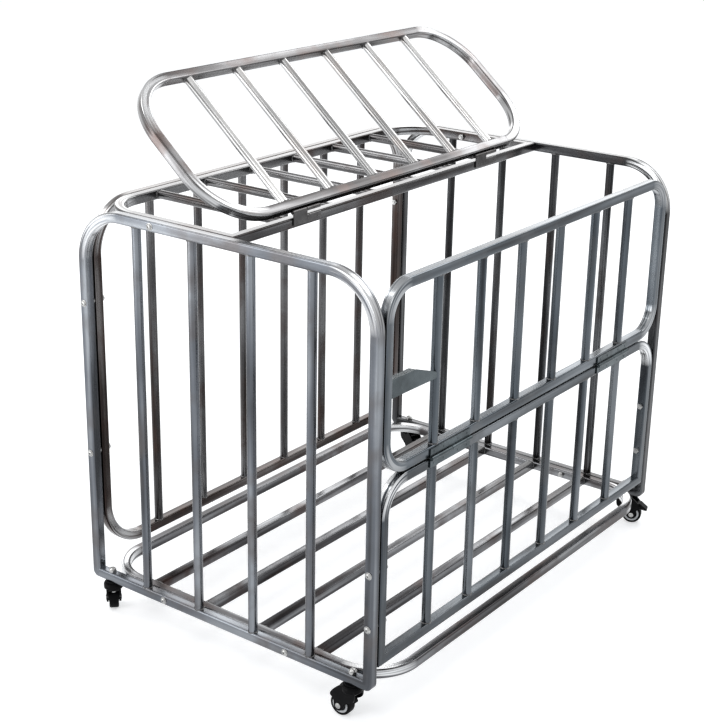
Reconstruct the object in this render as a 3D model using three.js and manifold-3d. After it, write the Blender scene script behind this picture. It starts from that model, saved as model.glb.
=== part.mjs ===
// Ball cart: a cage of welded steel tube on four swivel casters, with a hinged lid and a drop-down door.
// Millimetres, +Z up from the floor. X runs along the cage, and the door faces -Y.
import * as THREE from "three";
import { mergeVertices } from "three/addons/utils/BufferGeometryUtils.js";
import Module from "manifold-3d";

const wasm = await Module();
wasm.setup();

// ---------- Sizes: cage ----------

const CAGE_LENGTH = 1200;
const CAGE_WIDTH = 800;
const CAGE_HEIGHT = 882; // from the underside of the bottom rails to the top of the top rails
const TUBE = 22; // side of the square tube
const TUBE_EDGE = 2; // chamfer along the tube's four edges
const BAR_RADIUS = 10;
const FIT_GAP = 0.3; // between pieces that are bolted or pinned together
const BEND_STEPS = 6; // facets of one quarter bend
const FOOT_STEPS = 2; // facets of a bend tighter than the tube is wide
const ROUND_SIDES = 10;
const BARREL_SIDES = 10;
const PIN_SIDES = 8;

const END_BEND_RADIUS = 121; // outer radius of a bend, as are all bend radii here
const END_FOOT_RADIUS = 15;
const END_BAR_COUNT = 4;
const END_BAR_PITCH_SHARE = 0.1945; // of the cage's width

const PANEL_GAP = 5; // between the corner posts and the front and back panels
const PANEL_RAISE = 25; // from the bottom rails up to the front and back panels
const PANEL_BAR_COUNT = 6;
const PANEL_BAR_PITCH_SHARE = 0.13656; // of the length of the front and back panels
const LOWER_PANEL_HEIGHT = 408;
const LOWER_BEND_RADIUS = 82;
const DOOR_GAP = 4; // between the lower panel and the door
const DOOR_TOP_DROP = 24; // from the cage's top down to the door's top
const DOOR_BEND_RADIUS = 78;
const BACK_BEND_RADIUS = 120;
const BASE_BEND_RADIUS = 117;
const BASE_FRONT_LIP = 18; // of the base frame, in front of the corner posts

// ---------- Sizes: lid ----------

const LID_SIDE_INSET = 5;
const LID_FRONT_LIP = 18.5; // the closed lid's overhang at the front, to lift it by
const LID_BEND_RADIUS = 145;
const LID_REST_GAP = 0.5; // between the closed lid and the end rails under it
const LID_OPEN_DEG = 40.3; // above level, leaning back

// ---------- Sizes: hinges ----------

const BARREL_RADIUS = 4.7;
const PIN_RADIUS = 2.5;
const PIN_HOLE_RADIUS = 2.8;
const PIN_HEAD = 1.5;
const LEAF_THICKNESS = 2.8;
const LEAF_HEIGHT = 15;
const KNUCKLE_GAP = 1;
const KNUCKLE_CLEARANCE = 0.6;
const DOOR_HINGE_LENGTH = 145;
const DOOR_HINGE_INSET = 228; // from the door's ends to the middles of its hinges
const LID_HINGE_LENGTH = 90;
const LID_HINGE_INSET = 250; // from the lid's ends to the middles of its hinges

// ---------- Sizes: door lock ----------

const LOCK_Z_SHARE = 0.466; // height of the lock's middle in the door
const LOCK_HEIGHT = 38;
const LOCK_PLATE = 2.5; // sheet thickness
const LOCK_FLANGE = 14;
const LOCK_TIP_HEIGHT = 12;
const LOCK_SHOULDER_SHARE = 0.5475; // of the plate's length, where it starts to narrow
const LOCK_BOLT = 10; // side of the square slide bolt
const LOCK_BOLT_LENGTH = 128;
const LOCK_GUIDE = 16; // length of the guide block
const LOCK_GUIDE_OFFSET = 50;
const LOCK_LUG = 20;

// ---------- Sizes: bolts ----------

const BOLT_RADIUS = 4;
const BOLT_HEAD_RADIUS = 8;
const BOLT_HEAD_HEIGHT = 4.8;
const BOLT_SIDES = 8;
const NUT_SIDES = 6;
const NUT_RADIUS = 7.5;
const NUT_HEIGHT = 6.5;
const BOLT_HEAD_SHARES = [[1, 0], [0.8, 0.68], [0, 1]]; // of head radius and height
const LOWER_BOLT_SHARES = [0.235, 0.532]; // of the lower panel's height
const BACK_BOLT_SHARES = [0.315, 0.738]; // of the back panel's height
const BASE_BOLT_SHARE = 0.4375; // of half the cage's width
const GRILLE_BOLT_SHARE = 0.46; // of half the cage's width

// ---------- Sizes: casters ----------

const WHEEL_RADIUS = 25; // the other caster sizes follow from it
const CASTER_HEIGHT_SHARE = 3.28;
const CASTER_INSET = 54; // from the cage's front and back to the stems
const TRAIL_SHARE = 0.96; // the wheel's centre behind the swivel
const WHEEL_PROFILE_SHARES = [
  [0.172, -0.48], [0.44, -0.48], [0.58, -0.36], [0.78, -0.44], [0.92, -0.44], [1, -0.3],
  [1, 0.3], [0.92, 0.44], [0.78, 0.44], [0.58, 0.36], [0.44, 0.48], [0.172, 0.48],
];
const WHEEL_SIDES = 16;
const STEM_RADIUS = 5;
const STEM_HEAD_SHARES = [[0.32, 2.12], [0.32, 2.24]]; // the head that keeps the fork on the stem
const STEM_FLANGE_SHARES = [[0.68, 3.16], [0.68, 3.28]];
const STEM_NUT_RADIUS = 9.5;
const STEM_NUT_SHARES = [[1, 0], [0.96, 0.6], [0, 1]]; // of the dome nut's radius and height
const STEM_NUT_HEIGHT = 11.5;
const FORK_OUTLINE_SHARES = [
  [-0.68, 3.148], [0.68, 3.148], [1.4, 2.56], [1.84, 2], [1.8, 1.72], [1.44, 1.56], [1.4, 0.72],
  [0.96, 0.5], [0.52, 0.72], [0.28, 1.4], [-0.48, 1.76], [-0.68, 2.08],
];
const FORK_WIDTH_SHARE = 1.36;
const WELL_WIDTH_SHARE = 1;
const WELL_RADIUS_SHARE = 1.1;
const FORK_BOSS_SHARES = [[0.88, 2.6], [0.88, 3.148]];
const STEM_HOLE_SHARE = 0.22;
const STEM_RECESS_SHARES = [[0.4, 1.2], [0.4, 2.256]];
const AXLE_RADIUS_SHARE = 0.16;
const AXLE_HOLE_SHARE = 0.172;
const AXLE_HEAD_SHARES = [0.26, 0.08]; // radius and thickness
const PEDAL_OUTLINE_SHARES = [
  [1.38, 2.06], [1.68, 1.88], [1.84, 1.66], [2, 1.64], [2.52, 1.56], [2.56, 1.72], [2.16, 2], [1.84, 2.3],
  [1.44, 2.3],
];
const PEDAL_WIDTH_SHARE = 0.94;
const PEDAL_SLOT_SHARES = [1.32, 2.6, 1.2, 2.8]; // the gap in the hood that the pedal stands in
const PEDAL_PIVOT_SHARES = [1.6, 2.12];
const PEDAL_PIN_SHARE = 0.1;
const PEDAL_PIN_HOLE_SHARE = 0.114;
const CASTERS = [
  { name: "front_left", side: -1, depth: -1, yawDeg: 90, braked: false },
  { name: "back_left", side: -1, depth: 1, yawDeg: 47, braked: false },
  { name: "front_right", side: 1, depth: -1, yawDeg: -70, braked: true },
  { name: "back_right", side: 1, depth: 1, yawDeg: -110, braked: true },
];

// ---------- Places that follow from the sizes ----------

const CASTER_HEIGHT = WHEEL_RADIUS * CASTER_HEIGHT_SHARE;
const BASE_TOP_Z = CASTER_HEIGHT + TUBE;
const CAGE_TOP_Z = CASTER_HEIGHT + CAGE_HEIGHT;
const END_X = CAGE_LENGTH / 2 - TUBE / 2; // middle of the end panels and of the corner posts
const SIDE_Y = CAGE_WIDTH / 2 - TUBE / 2; // middle of the corner posts and of the front and back panels
const POST_INNER_X = CAGE_LENGTH / 2 - TUBE;
const PANEL_HALF = POST_INNER_X - PANEL_GAP;
const PANEL_BAR_PITCH = 2 * PANEL_HALF * PANEL_BAR_PITCH_SHARE;
const END_BAR_PITCH = CAGE_WIDTH * END_BAR_PITCH_SHARE;
const PANEL_BOTTOM_Z = BASE_TOP_Z + PANEL_RAISE;
const LOWER_TOP_Z = PANEL_BOTTOM_Z + LOWER_PANEL_HEIGHT;
const DOOR_BOTTOM_Z = LOWER_TOP_Z + DOOR_GAP;
const DOOR_TOP_Z = CAGE_TOP_Z - DOOR_TOP_DROP;
const LID_HALF = CAGE_LENGTH / 2 - LID_SIDE_INSET;
const GRILLE_FRONT_Y = -TUBE;
const GRILLE_BACK_Y = CAGE_WIDTH / 2 - TUBE - FIT_GAP;
const HINGE_OFFSET = BARREL_RADIUS + 2 * FIT_GAP; // from a hinge's pin to the tube that its leaf is on
const LID_AXIS_Y = GRILLE_FRONT_Y - FIT_GAP - LEAF_THICKNESS + BARREL_RADIUS;
const LID_AXIS_Z = CAGE_TOP_Z + LID_REST_GAP + TUBE / 2;
const LID_DEPTH = CAGE_WIDTH / 2 + LID_FRONT_LIP + LID_AXIS_Y - HINGE_OFFSET;
const DOOR_AXIS_Y = -CAGE_WIDTH / 2 - FIT_GAP - BARREL_RADIUS;
const DOOR_AXIS_Z = LOWER_TOP_Z + DOOR_GAP / 2;
const DOOR_HINGE_X = PANEL_HALF - DOOR_HINGE_INSET;
const LID_HINGE_X = LID_HALF - LID_HINGE_INSET;
const CASTER_Y = CAGE_WIDTH / 2 - CASTER_INSET;
const LOCK_Z = DOOR_BOTTOM_Z + LOCK_Z_SHARE * (DOOR_TOP_Z - DOOR_BOTTOM_Z);

// ---------- Directions ----------

const X = new THREE.Vector3(1, 0, 0);
const Y = new THREE.Vector3(0, 1, 0);
const Z = new THREE.Vector3(0, 0, 1);
const turn = (a, b, c) => new THREE.Matrix4().makeBasis(a, b, c);

// A drawn outline lies in X and Y with its thickness along Z. These stand it up.
const LYING = turn(X, Y, Z);
const FACING_FRONT = turn(X, Z, Y.clone().negate());
const FACING_END = turn(Y, Z, X);

// A round piece is turned about Y. These point its axis another way.
const AXIS = {
  x: turn(Y, X, Z.clone().negate()),
  "-x": turn(Y, X.clone().negate(), Z),
  y: turn(X, Y, Z),
  z: turn(X, Z, Y.clone().negate()),
};

// ---------- Solids ----------

function solid(geometry, matrix, at) {
  geometry.deleteAttribute("normal");
  geometry.deleteAttribute("uv");
  geometry.applyMatrix4(matrix).translate(...at);
  const merged = mergeVertices(geometry, 1e-4);
  const corners = merged.index.array;
  const kept = [];
  for (let i = 0; i < corners.length; i += 3) {
    const [a, b, c] = corners.slice(i, i + 3);
    if (a !== b && b !== c && c !== a) kept.push(a, b, c);
  }
  const vertProperties = merged.attributes.position.array;
  return new wasm.Manifold(new wasm.Mesh({ numProp: 3, vertProperties, triVerts: new Uint32Array(kept) }));
}

const join = (solids) => solids.reduce((whole, next) => whole.add(next));
const cut = (whole, tools) => tools.reduce((left, tool) => left.subtract(tool), whole);

function box([x0, x1], [y0, y1], [z0, z1]) {
  const size = [Math.abs(x1 - x0), Math.abs(y1 - y0), Math.abs(z1 - z0)];
  return solid(new THREE.BoxGeometry(...size), LYING, [(x0 + x1) / 2, (y0 + y1) / 2, (z0 + z1) / 2]);
}

// A round rod along one axis, from and to along it, through the point `at`.
function rod(axis, radius, [from, to], at, sides = ROUND_SIDES) {
  const length = Math.abs(to - from);
  const middle = (from + to) / 2;
  const shift = { x: [middle, 0, 0], y: [0, middle, 0], z: [0, 0, middle] }[axis];
  const centre = at.map((value, i) => value + shift[i]);
  return solid(new THREE.CylinderGeometry(radius, radius, length, sides), AXIS[axis], centre);
}

// A turned piece: its profile holds radius and height, from the bottom up.
function turned(profile, axis, at, sides = ROUND_SIDES) {
  const points = profile.map(([radius, height]) => new THREE.Vector2(radius, height));
  return solid(new THREE.LatheGeometry(points, sides), AXIS[axis], at);
}

function slab(points, thickness, matrix, at) {
  const shape = new THREE.Shape(points.map(([u, v]) => new THREE.Vector2(u, v)));
  const geometry = new THREE.ExtrudeGeometry(shape, { depth: thickness, bevelEnabled: false });
  return solid(geometry.translate(0, 0, -thickness / 2), matrix, at);
}

// ---------- Tube frames ----------

function corner(u, v, radius, startAngle) {
  if (radius <= 0) return [new THREE.Vector2(u, v)];
  const steps = radius > TUBE ? BEND_STEPS : FOOT_STEPS;
  return Array.from({ length: steps + 1 }, (_, i) => {
    const angle = startAngle + (Math.PI / 2) * (i / steps);
    return new THREE.Vector2(u + radius * Math.cos(angle), v + radius * Math.sin(angle));
  });
}

function roundedRectangle({ left, right, low, high }, lowRadius, highRadius) {
  return [
    ...corner(right - lowRadius, low + lowRadius, lowRadius, -Math.PI / 2),
    ...corner(right - highRadius, high - highRadius, highRadius, 0),
    ...corner(left + highRadius, high - highRadius, highRadius, Math.PI / 2),
    ...corner(left + lowRadius, low + lowRadius, lowRadius, Math.PI),
  ];
}

// A flat frame of bent square tube. A corner with radius zero is a mitred one.
function tubeFrame(edges, lowRadius, highRadius, matrix, at) {
  const { left, right, low, high } = edges;
  const inner = { left: left + TUBE, right: right - TUBE, low: low + TUBE, high: high - TUBE };
  const within = (radius) => Math.max(radius - TUBE, 0);
  const shape = new THREE.Shape(roundedRectangle(edges, lowRadius, highRadius));
  shape.holes = [new THREE.Path(roundedRectangle(inner, within(lowRadius), within(highRadius)))];
  const depth = TUBE - 2 * TUBE_EDGE;
  const edge = { bevelThickness: TUBE_EDGE, bevelSize: TUBE_EDGE, bevelOffset: -TUBE_EDGE, bevelSegments: 1 };
  const geometry = new THREE.ExtrudeGeometry(shape, { depth, ...edge });
  return solid(geometry.translate(0, 0, -depth / 2), matrix, at);
}

const spread = (count, pitch) => Array.from({ length: count }, (_, i) => (i - (count - 1) / 2) * pitch);

// Round bars between two rails. Each end reaches the middle of its rail.
function bars(axis, places, [low, high], placeOf) {
  const reach = [low + TUBE / 2, high - TUBE / 2];
  return places.map((place) => rod(axis, BAR_RADIUS, reach, placeOf(place)));
}

// ---------- Bolts ----------

// One bolt on an end of the cage: side is 1 on the right and -1 on the left.
function boltAt(side, y, z, gap) {
  const grip = 2 * TUBE + gap;
  const end = grip + NUT_HEIGHT + BOLT_RADIUS / 2;
  const head = BOLT_HEAD_SHARES.map(([r, h]) => [r * BOLT_HEAD_RADIUS, h * BOLT_HEAD_HEIGHT]);
  const profile = [[0, -end], [BOLT_RADIUS, -end], [BOLT_RADIUS, 0], ...head];
  const at = [(side * CAGE_LENGTH) / 2, y, z];
  const along = (from, to) => [-side * from, -side * to];
  const parts = [
    turned(profile, side > 0 ? "x" : "-x", at, BOLT_SIDES),
    rod("x", NUT_RADIUS, along(grip, grip + NUT_HEIGHT), at, NUT_SIDES),
  ];
  if (gap > BOLT_RADIUS) parts.push(rod("x", NUT_RADIUS, along(TUBE, TUBE + gap), at, NUT_SIDES));
  return join(parts);
}

const boltHole = (side, y, z) => {
  const reach = [side * (CAGE_LENGTH / 2 + TUBE), side * (CAGE_LENGTH / 2 - 3 * TUBE)];
  return rod("x", BOLT_RADIUS + FIT_GAP, reach, [0, y, z]);
};

function boltPlaces() {
  const heights = (low, high, shares) => shares.map((share) => low + share * (high - low));
  const [lowerA, lowerB] = heights(PANEL_BOTTOM_Z, LOWER_TOP_Z, LOWER_BOLT_SHARES);
  const [backA, backB] = heights(PANEL_BOTTOM_Z, CAGE_TOP_Z, BACK_BOLT_SHARES);
  const baseY = (BASE_BOLT_SHARE * CAGE_WIDTH) / 2;
  const baseZ = CASTER_HEIGHT + TUBE / 2;
  return [
    { name: "lower_panel_bottom", holds: "lower", y: -SIDE_Y, z: lowerA, gap: PANEL_GAP },
    { name: "lower_panel_top", holds: "lower", y: -SIDE_Y, z: lowerB, gap: PANEL_GAP },
    { name: "back_panel_bottom", holds: "back", y: SIDE_Y, z: backA, gap: PANEL_GAP },
    { name: "back_panel_top", holds: "back", y: SIDE_Y, z: backB, gap: PANEL_GAP },
    { name: "base_front", holds: "base", y: -baseY, z: baseZ, gap: FIT_GAP },
    { name: "base_back", holds: "base", y: baseY, z: baseZ, gap: FIT_GAP },
    {
      name: "top_grille",
      holds: "grille",
      y: (GRILLE_BOLT_SHARE * CAGE_WIDTH) / 2,
      z: CAGE_TOP_Z - TUBE / 2,
      gap: FIT_GAP,
    },
  ];
}

const BOLTS = boltPlaces();
const SIDES = [["left", -1], ["right", 1]];

// The holes for the bolts that hold one piece, on both ends of the cage.
function holesFor(piece) {
  const bolts = BOLTS.filter((bolt) => bolt.holds === piece);
  return SIDES.flatMap(([, side]) => bolts.map(({ y, z }) => boltHole(side, y, z)));
}

// ---------- Panels ----------

const endEdges = () => ({
  left: -CAGE_WIDTH / 2,
  right: CAGE_WIDTH / 2,
  low: CASTER_HEIGHT,
  high: CAGE_TOP_Z,
});
const panelEdges = (low, high) => ({ left: -PANEL_HALF, right: PANEL_HALF, low, high });

function lockHole() {
  const half = LOCK_BOLT / 2 + FIT_GAP;
  const reach = [-CAGE_LENGTH / 2 + LOCK_PLATE, -PANEL_HALF + 2 * TUBE];
  return box(reach, [-SIDE_Y - half, -SIDE_Y + half], [LOCK_Z - half, LOCK_Z + half]);
}

function endPanel(side) {
  const x = side * END_X;
  const frame = tubeFrame(endEdges(), END_FOOT_RADIUS, END_BEND_RADIUS, FACING_END, [x, 0, 0]);
  const places = spread(END_BAR_COUNT, END_BAR_PITCH);
  const uprights = bars("z", places, [CASTER_HEIGHT, CAGE_TOP_Z], (y) => [x, y, 0]);
  const stems = [-CASTER_Y, CASTER_Y].map((y) => {
    const reach = [CASTER_HEIGHT - TUBE, BASE_TOP_Z + TUBE];
    return rod("z", STEM_RADIUS + FIT_GAP, reach, [x, y, 0]);
  });
  const bolts = BOLTS.map(({ y, z }) => boltHole(side, y, z));
  const holes = side < 0 ? [...stems, ...bolts, lockHole()] : [...stems, ...bolts];
  return cut(join([frame, ...uprights]), holes);
}

function barredPanel(low, high, y, lowRadius, highRadius) {
  const frame = tubeFrame(panelEdges(low, high), lowRadius, highRadius, FACING_FRONT, [0, y, 0]);
  const places = spread(PANEL_BAR_COUNT, PANEL_BAR_PITCH);
  return join([frame, ...bars("z", places, [low, high], (x) => [x, y, 0])]);
}

function lowerFrontPanel() {
  const panel = barredPanel(PANEL_BOTTOM_Z, LOWER_TOP_Z, -SIDE_Y, 0, LOWER_BEND_RADIUS);
  return cut(panel, holesFor("lower"));
}

function backPanel() {
  const panel = barredPanel(PANEL_BOTTOM_Z, CAGE_TOP_Z, SIDE_Y, BACK_BEND_RADIUS, BACK_BEND_RADIUS);
  return cut(panel, holesFor("back"));
}

function baseFrame() {
  const half = POST_INNER_X - FIT_GAP;
  const front = -CAGE_WIDTH / 2 - BASE_FRONT_LIP;
  const edges = { left: -half, right: half, low: front, high: CAGE_WIDTH / 2 };
  const z = CASTER_HEIGHT + TUBE / 2;
  const frame = tubeFrame(edges, BASE_BEND_RADIUS, BASE_BEND_RADIUS, LYING, [0, 0, z]);
  const height = [CASTER_HEIGHT, BASE_TOP_Z];
  const runners = spread(END_BAR_COUNT, END_BAR_PITCH).map((y) => {
    const reach = half - TUBE / 2;
    return box([-reach, reach], [y - TUBE / 2, y + TUBE / 2], height);
  });
  return cut(join([frame, ...runners]), holesFor("base"));
}

function topGrille() {
  const half = POST_INNER_X - FIT_GAP;
  const edges = { left: -half, right: half, low: GRILLE_FRONT_Y, high: GRILLE_BACK_Y };
  const z = CAGE_TOP_Z - TUBE / 2;
  const frame = tubeFrame(edges, 0, BASE_BEND_RADIUS, LYING, [0, 0, z]);
  const places = spread(PANEL_BAR_COUNT, PANEL_BAR_PITCH);
  const rods = bars("y", places, [GRILLE_FRONT_Y, GRILLE_BACK_Y], (x) => [x, 0, z]);
  return cut(join([frame, ...rods]), holesFor("grille"));
}

// The lid is drawn level, with the hinge pins on X and the lid running along +Y.
function lid() {
  const edges = { left: -LID_HALF, right: LID_HALF, low: HINGE_OFFSET, high: HINGE_OFFSET + LID_DEPTH };
  const frame = tubeFrame(edges, LID_BEND_RADIUS, LID_BEND_RADIUS, LYING, [0, 0, 0]);
  const places = spread(PANEL_BAR_COUNT, PANEL_BAR_PITCH);
  return join([frame, ...bars("y", places, [edges.low, edges.high], (x) => [x, 0, 0])]);
}

// ---------- Door and its lock ----------

function lockPlate() {
  const first = -((PANEL_BAR_COUNT - 1) / 2) * PANEL_BAR_PITCH;
  const left = -PANEL_HALF + TUBE / 2;
  const low = LOCK_Z - LOCK_HEIGHT / 2;
  const high = LOCK_Z + LOCK_HEIGHT / 2;
  const tip = first - BAR_RADIUS / 2;
  const shoulder = left + LOCK_SHOULDER_SHARE * (tip - left);
  const outline = [
    [left, low],
    [tip, low - LOCK_PLATE],
    [tip, low - LOCK_PLATE + LOCK_TIP_HEIGHT],
    [shoulder, high],
    [left, high],
  ];
  const y = -CAGE_WIDTH / 2 + 2 * TUBE_EDGE;
  const face = slab(outline, LOCK_PLATE, FACING_FRONT, [0, y, 0]);
  const flange = box([left, shoulder], [y, y + LOCK_FLANGE], [high - LOCK_PLATE, high]);
  const guideLeft = -PANEL_HALF + TUBE + LOCK_GUIDE_OFFSET;
  const guide = box([guideLeft, guideLeft + LOCK_GUIDE], [y, -SIDE_Y + LOCK_BOLT], [low + LOCK_PLATE, high]);
  return join([face, flange, guide]);
}

function lockBolt() {
  const half = LOCK_BOLT / 2;
  const left = -PANEL_HALF + FIT_GAP;
  const right = left + LOCK_BOLT_LENGTH;
  const across = [-SIDE_Y - half, -SIDE_Y + half];
  const shank = box([left, right], across, [LOCK_Z - half, LOCK_Z + half]);
  const lug = box([right - LOCK_BOLT, right], [across[0], across[1] + LOCK_LUG], [LOCK_Z - half, LOCK_Z + half]);
  return join([shank, lug]);
}

function lockPassage() {
  const half = LOCK_BOLT / 2 + FIT_GAP;
  const across = [-SIDE_Y - half, -SIDE_Y + half];
  const reach = [-CAGE_LENGTH / 2, -PANEL_HALF + TUBE + LOCK_GUIDE_OFFSET + 2 * LOCK_GUIDE];
  return box(reach, across, [LOCK_Z - half, LOCK_Z + half]);
}

function frontDoor() {
  const panel = barredPanel(DOOR_BOTTOM_Z, DOOR_TOP_Z, -SIDE_Y, DOOR_BEND_RADIUS, DOOR_BEND_RADIUS);
  return cut(join([panel, lockPlate()]), [lockPassage()]);
}

// ---------- Hinges ----------

// One leaf of a hinge with its pin on X. Its knuckle fills the end that `side` names. Its plate is on
// the barrel's `back` side in Y, and runs along Z the way of `run`, past the other knuckle from `near`.
function hingeLeaf({ length, side, back, run, near, far }) {
  const own = [(side * KNUCKLE_GAP) / 2, (side * length) / 2];
  const thickness = [back * BARREL_RADIUS, back * (BARREL_RADIUS - LEAF_THICKNESS)];
  const parts = [
    rod("x", BARREL_RADIUS, own, [0, 0, 0], BARREL_SIDES),
    box(own, thickness, [0, run * near]),
  ];
  if (far > near) parts.push(box([-length / 2, length / 2], thickness, [run * (near - FIT_GAP), run * far]));
  return cut(join(parts), [rod("x", PIN_HOLE_RADIUS, [-length, length], [0, 0, 0], BARREL_SIDES)]);
}

function hingePin(length) {
  const half = length / 2;
  const heads = [-1, 1].map((end) => {
    return rod("x", PIN_HOLE_RADIUS + FIT_GAP, [end * half, end * (half + PIN_HEAD)], [0, 0, 0], PIN_SIDES);
  });
  const reach = half + PIN_HEAD / 2;
  return join([rod("x", PIN_RADIUS, [-reach, reach], [0, 0, 0], PIN_SIDES), ...heads]);
}

const DOOR_LEAF = {
  length: DOOR_HINGE_LENGTH,
  back: 1,
  near: BARREL_RADIUS + KNUCKLE_CLEARANCE,
  far: BARREL_RADIUS + KNUCKLE_CLEARANCE + LEAF_HEIGHT,
};
const LID_FIXED_LEAF = {
  length: LID_HINGE_LENGTH,
  side: -1,
  back: -1,
  run: -1,
  near: LID_AXIS_Z - CAGE_TOP_Z + KNUCKLE_CLEARANCE,
  far: LID_AXIS_Z - CAGE_TOP_Z + KNUCKLE_CLEARANCE + LEAF_HEIGHT,
};
const LID_MOVING_LEAF = {
  length: LID_HINGE_LENGTH,
  side: 1,
  back: 1,
  run: -1,
  near: TUBE / 2 - TUBE_EDGE,
  far: 0,
};

// ---------- Casters ----------

const sized = (shares) => shares.map(([a, b]) => [a * WHEEL_RADIUS, b * WHEEL_RADIUS]);
const WHEEL_CENTRE = [TRAIL_SHARE * WHEEL_RADIUS, 0, WHEEL_RADIUS];

function casterStem() {
  const [headLow, headHigh] = sized(STEM_HEAD_SHARES);
  const [flangeLow, flangeHigh] = sized(STEM_FLANGE_SHARES);
  const nut = STEM_NUT_SHARES.map(([r, h]) => [r * STEM_NUT_RADIUS, BASE_TOP_Z + h * STEM_NUT_HEIGHT]);
  const profile = [
    [0, headLow[1]],
    headLow,
    headHigh,
    [STEM_RADIUS, headHigh[1]],
    [STEM_RADIUS, flangeLow[1]],
    flangeLow,
    flangeHigh,
    [STEM_RADIUS, flangeHigh[1]],
    [STEM_RADIUS, BASE_TOP_Z],
    ...nut,
  ];
  return turned(profile, "z", [0, 0, 0]);
}

// The wheel well: a round space that is open to the floor.
function wheelWell() {
  const radius = WELL_RADIUS_SHARE * WHEEL_RADIUS;
  const half = (WELL_WIDTH_SHARE * WHEEL_RADIUS) / 2;
  const [x] = WHEEL_CENTRE;
  return [
    rod("y", radius, [-half, half], WHEEL_CENTRE, WHEEL_SIDES),
    box([x - radius, x + radius], [-half, half], [0, WHEEL_RADIUS]),
  ];
}

// The opening in the hood that the brake pedal stands in, and the holes for its pin.
function pedalRoom() {
  const half = (WELL_WIDTH_SHARE * WHEEL_RADIUS) / 2;
  const width = FORK_WIDTH_SHARE * WHEEL_RADIUS;
  const [x0, x1, z0, z1] = PEDAL_SLOT_SHARES.map((share) => share * WHEEL_RADIUS);
  const [[x, z]] = sized([PEDAL_PIVOT_SHARES]);
  return [
    box([x0, x1], [-half, half], [z0, z1]),
    rod("y", PEDAL_PIN_HOLE_SHARE * WHEEL_RADIUS, [-width, width], [x, 0, z]),
  ];
}

function casterFork(braked) {
  const width = FORK_WIDTH_SHARE * WHEEL_RADIUS;
  const [bossLow, bossHigh] = sized(FORK_BOSS_SHARES);
  const [recessLow, recessHigh] = sized(STEM_RECESS_SHARES);
  const body = join([
    slab(sized(FORK_OUTLINE_SHARES), width, FACING_FRONT, [0, 0, 0]),
    rod("z", bossLow[0], [bossLow[1], bossHigh[1]], [0, 0, 0], WHEEL_SIDES),
  ]);
  return cut(body, [
    ...wheelWell(),
    ...(braked ? pedalRoom() : []),
    rod("z", STEM_HOLE_SHARE * WHEEL_RADIUS, [0, CASTER_HEIGHT], [0, 0, 0]),
    rod("z", recessLow[0], [recessLow[1], recessHigh[1]], [0, 0, 0]),
    rod("y", AXLE_HOLE_SHARE * WHEEL_RADIUS, [-width, width], WHEEL_CENTRE),
  ]);
}

const casterWheel = () => {
  const profile = sized(WHEEL_PROFILE_SHARES);
  return turned([...profile, profile[0]], "y", WHEEL_CENTRE, WHEEL_SIDES);
};

function casterAxle() {
  const half = (FORK_WIDTH_SHARE * WHEEL_RADIUS) / 2;
  const [headRadius, headThickness] = AXLE_HEAD_SHARES.map((share) => share * WHEEL_RADIUS);
  const heads = [-1, 1].map((end) => {
    return rod("y", headRadius, [end * half, end * (half + headThickness)], WHEEL_CENTRE, PIN_SIDES);
  });
  const reach = half + headThickness / 2;
  const spindle = rod("y", AXLE_RADIUS_SHARE * WHEEL_RADIUS, [-reach, reach], WHEEL_CENTRE, PIN_SIDES);
  return join([spindle, ...heads]);
}

function casterPedal() {
  const half = (FORK_WIDTH_SHARE * WHEEL_RADIUS) / 2;
  const [[x, z]] = sized([PEDAL_PIVOT_SHARES]);
  return join([
    slab(sized(PEDAL_OUTLINE_SHARES), PEDAL_WIDTH_SHARE * WHEEL_RADIUS, FACING_FRONT, [0, 0, 0]),
    rod("y", PEDAL_PIN_SHARE * WHEEL_RADIUS, [-half, half], [x, 0, z], PIN_SIDES),
  ]);
}

// ---------- Materials and nodes ----------

const STEEL = new THREE.MeshStandardMaterial({ color: 0xc6c9cc, metalness: 1, roughness: 0.25 });
const ZINC = new THREE.MeshStandardMaterial({ color: 0xd6d7d6, metalness: 1, roughness: 0.4 });
const BLACK = new THREE.MeshStandardMaterial({ color: 0x17181a, metalness: 0, roughness: 0.45 });

function piece(name, made, material) {
  const { vertProperties, triVerts } = made.getMesh();
  const geometry = new THREE.BufferGeometry()
    .setAttribute("position", new THREE.BufferAttribute(vertProperties, 3))
    .setIndex(new THREE.BufferAttribute(triVerts, 1));
  geometry.computeVertexNormals();
  const mesh = new THREE.Mesh(geometry, material);
  mesh.name = name;
  return mesh;
}

function groupAt(position, pieces) {
  const group = new THREE.Group();
  group.position.set(...position);
  return group.add(...pieces);
}

function cagePieces() {
  return [
    piece("end_panel_left", endPanel(-1), STEEL),
    piece("end_panel_right", endPanel(1), STEEL),
    piece("lower_front_panel", lowerFrontPanel(), STEEL),
    piece("back_panel", backPanel(), STEEL),
    piece("base_frame", baseFrame(), STEEL),
    piece("top_grille", topGrille(), STEEL),
    piece("front_door", frontDoor(), STEEL),
    piece("door_lock_bolt", lockBolt(), STEEL),
  ];
}

function boltPieces() {
  return SIDES.flatMap(([end, side]) =>
    BOLTS.map(({ name, y, z, gap }) => piece(`bolt_${end}_${name}`, boltAt(side, y, z, gap), ZINC)),
  );
}

function doorHinge([end, side]) {
  const name = `door_hinge_${end}`;
  return groupAt([side * DOOR_HINGE_X, DOOR_AXIS_Y, DOOR_AXIS_Z], [
    piece(`${name}_lower_leaf`, hingeLeaf({ ...DOOR_LEAF, side: -1, run: -1 }), STEEL),
    piece(`${name}_upper_leaf`, hingeLeaf({ ...DOOR_LEAF, side: 1, run: 1 }), STEEL),
    piece(`${name}_pin`, hingePin(DOOR_HINGE_LENGTH), ZINC),
  ]);
}

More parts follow.
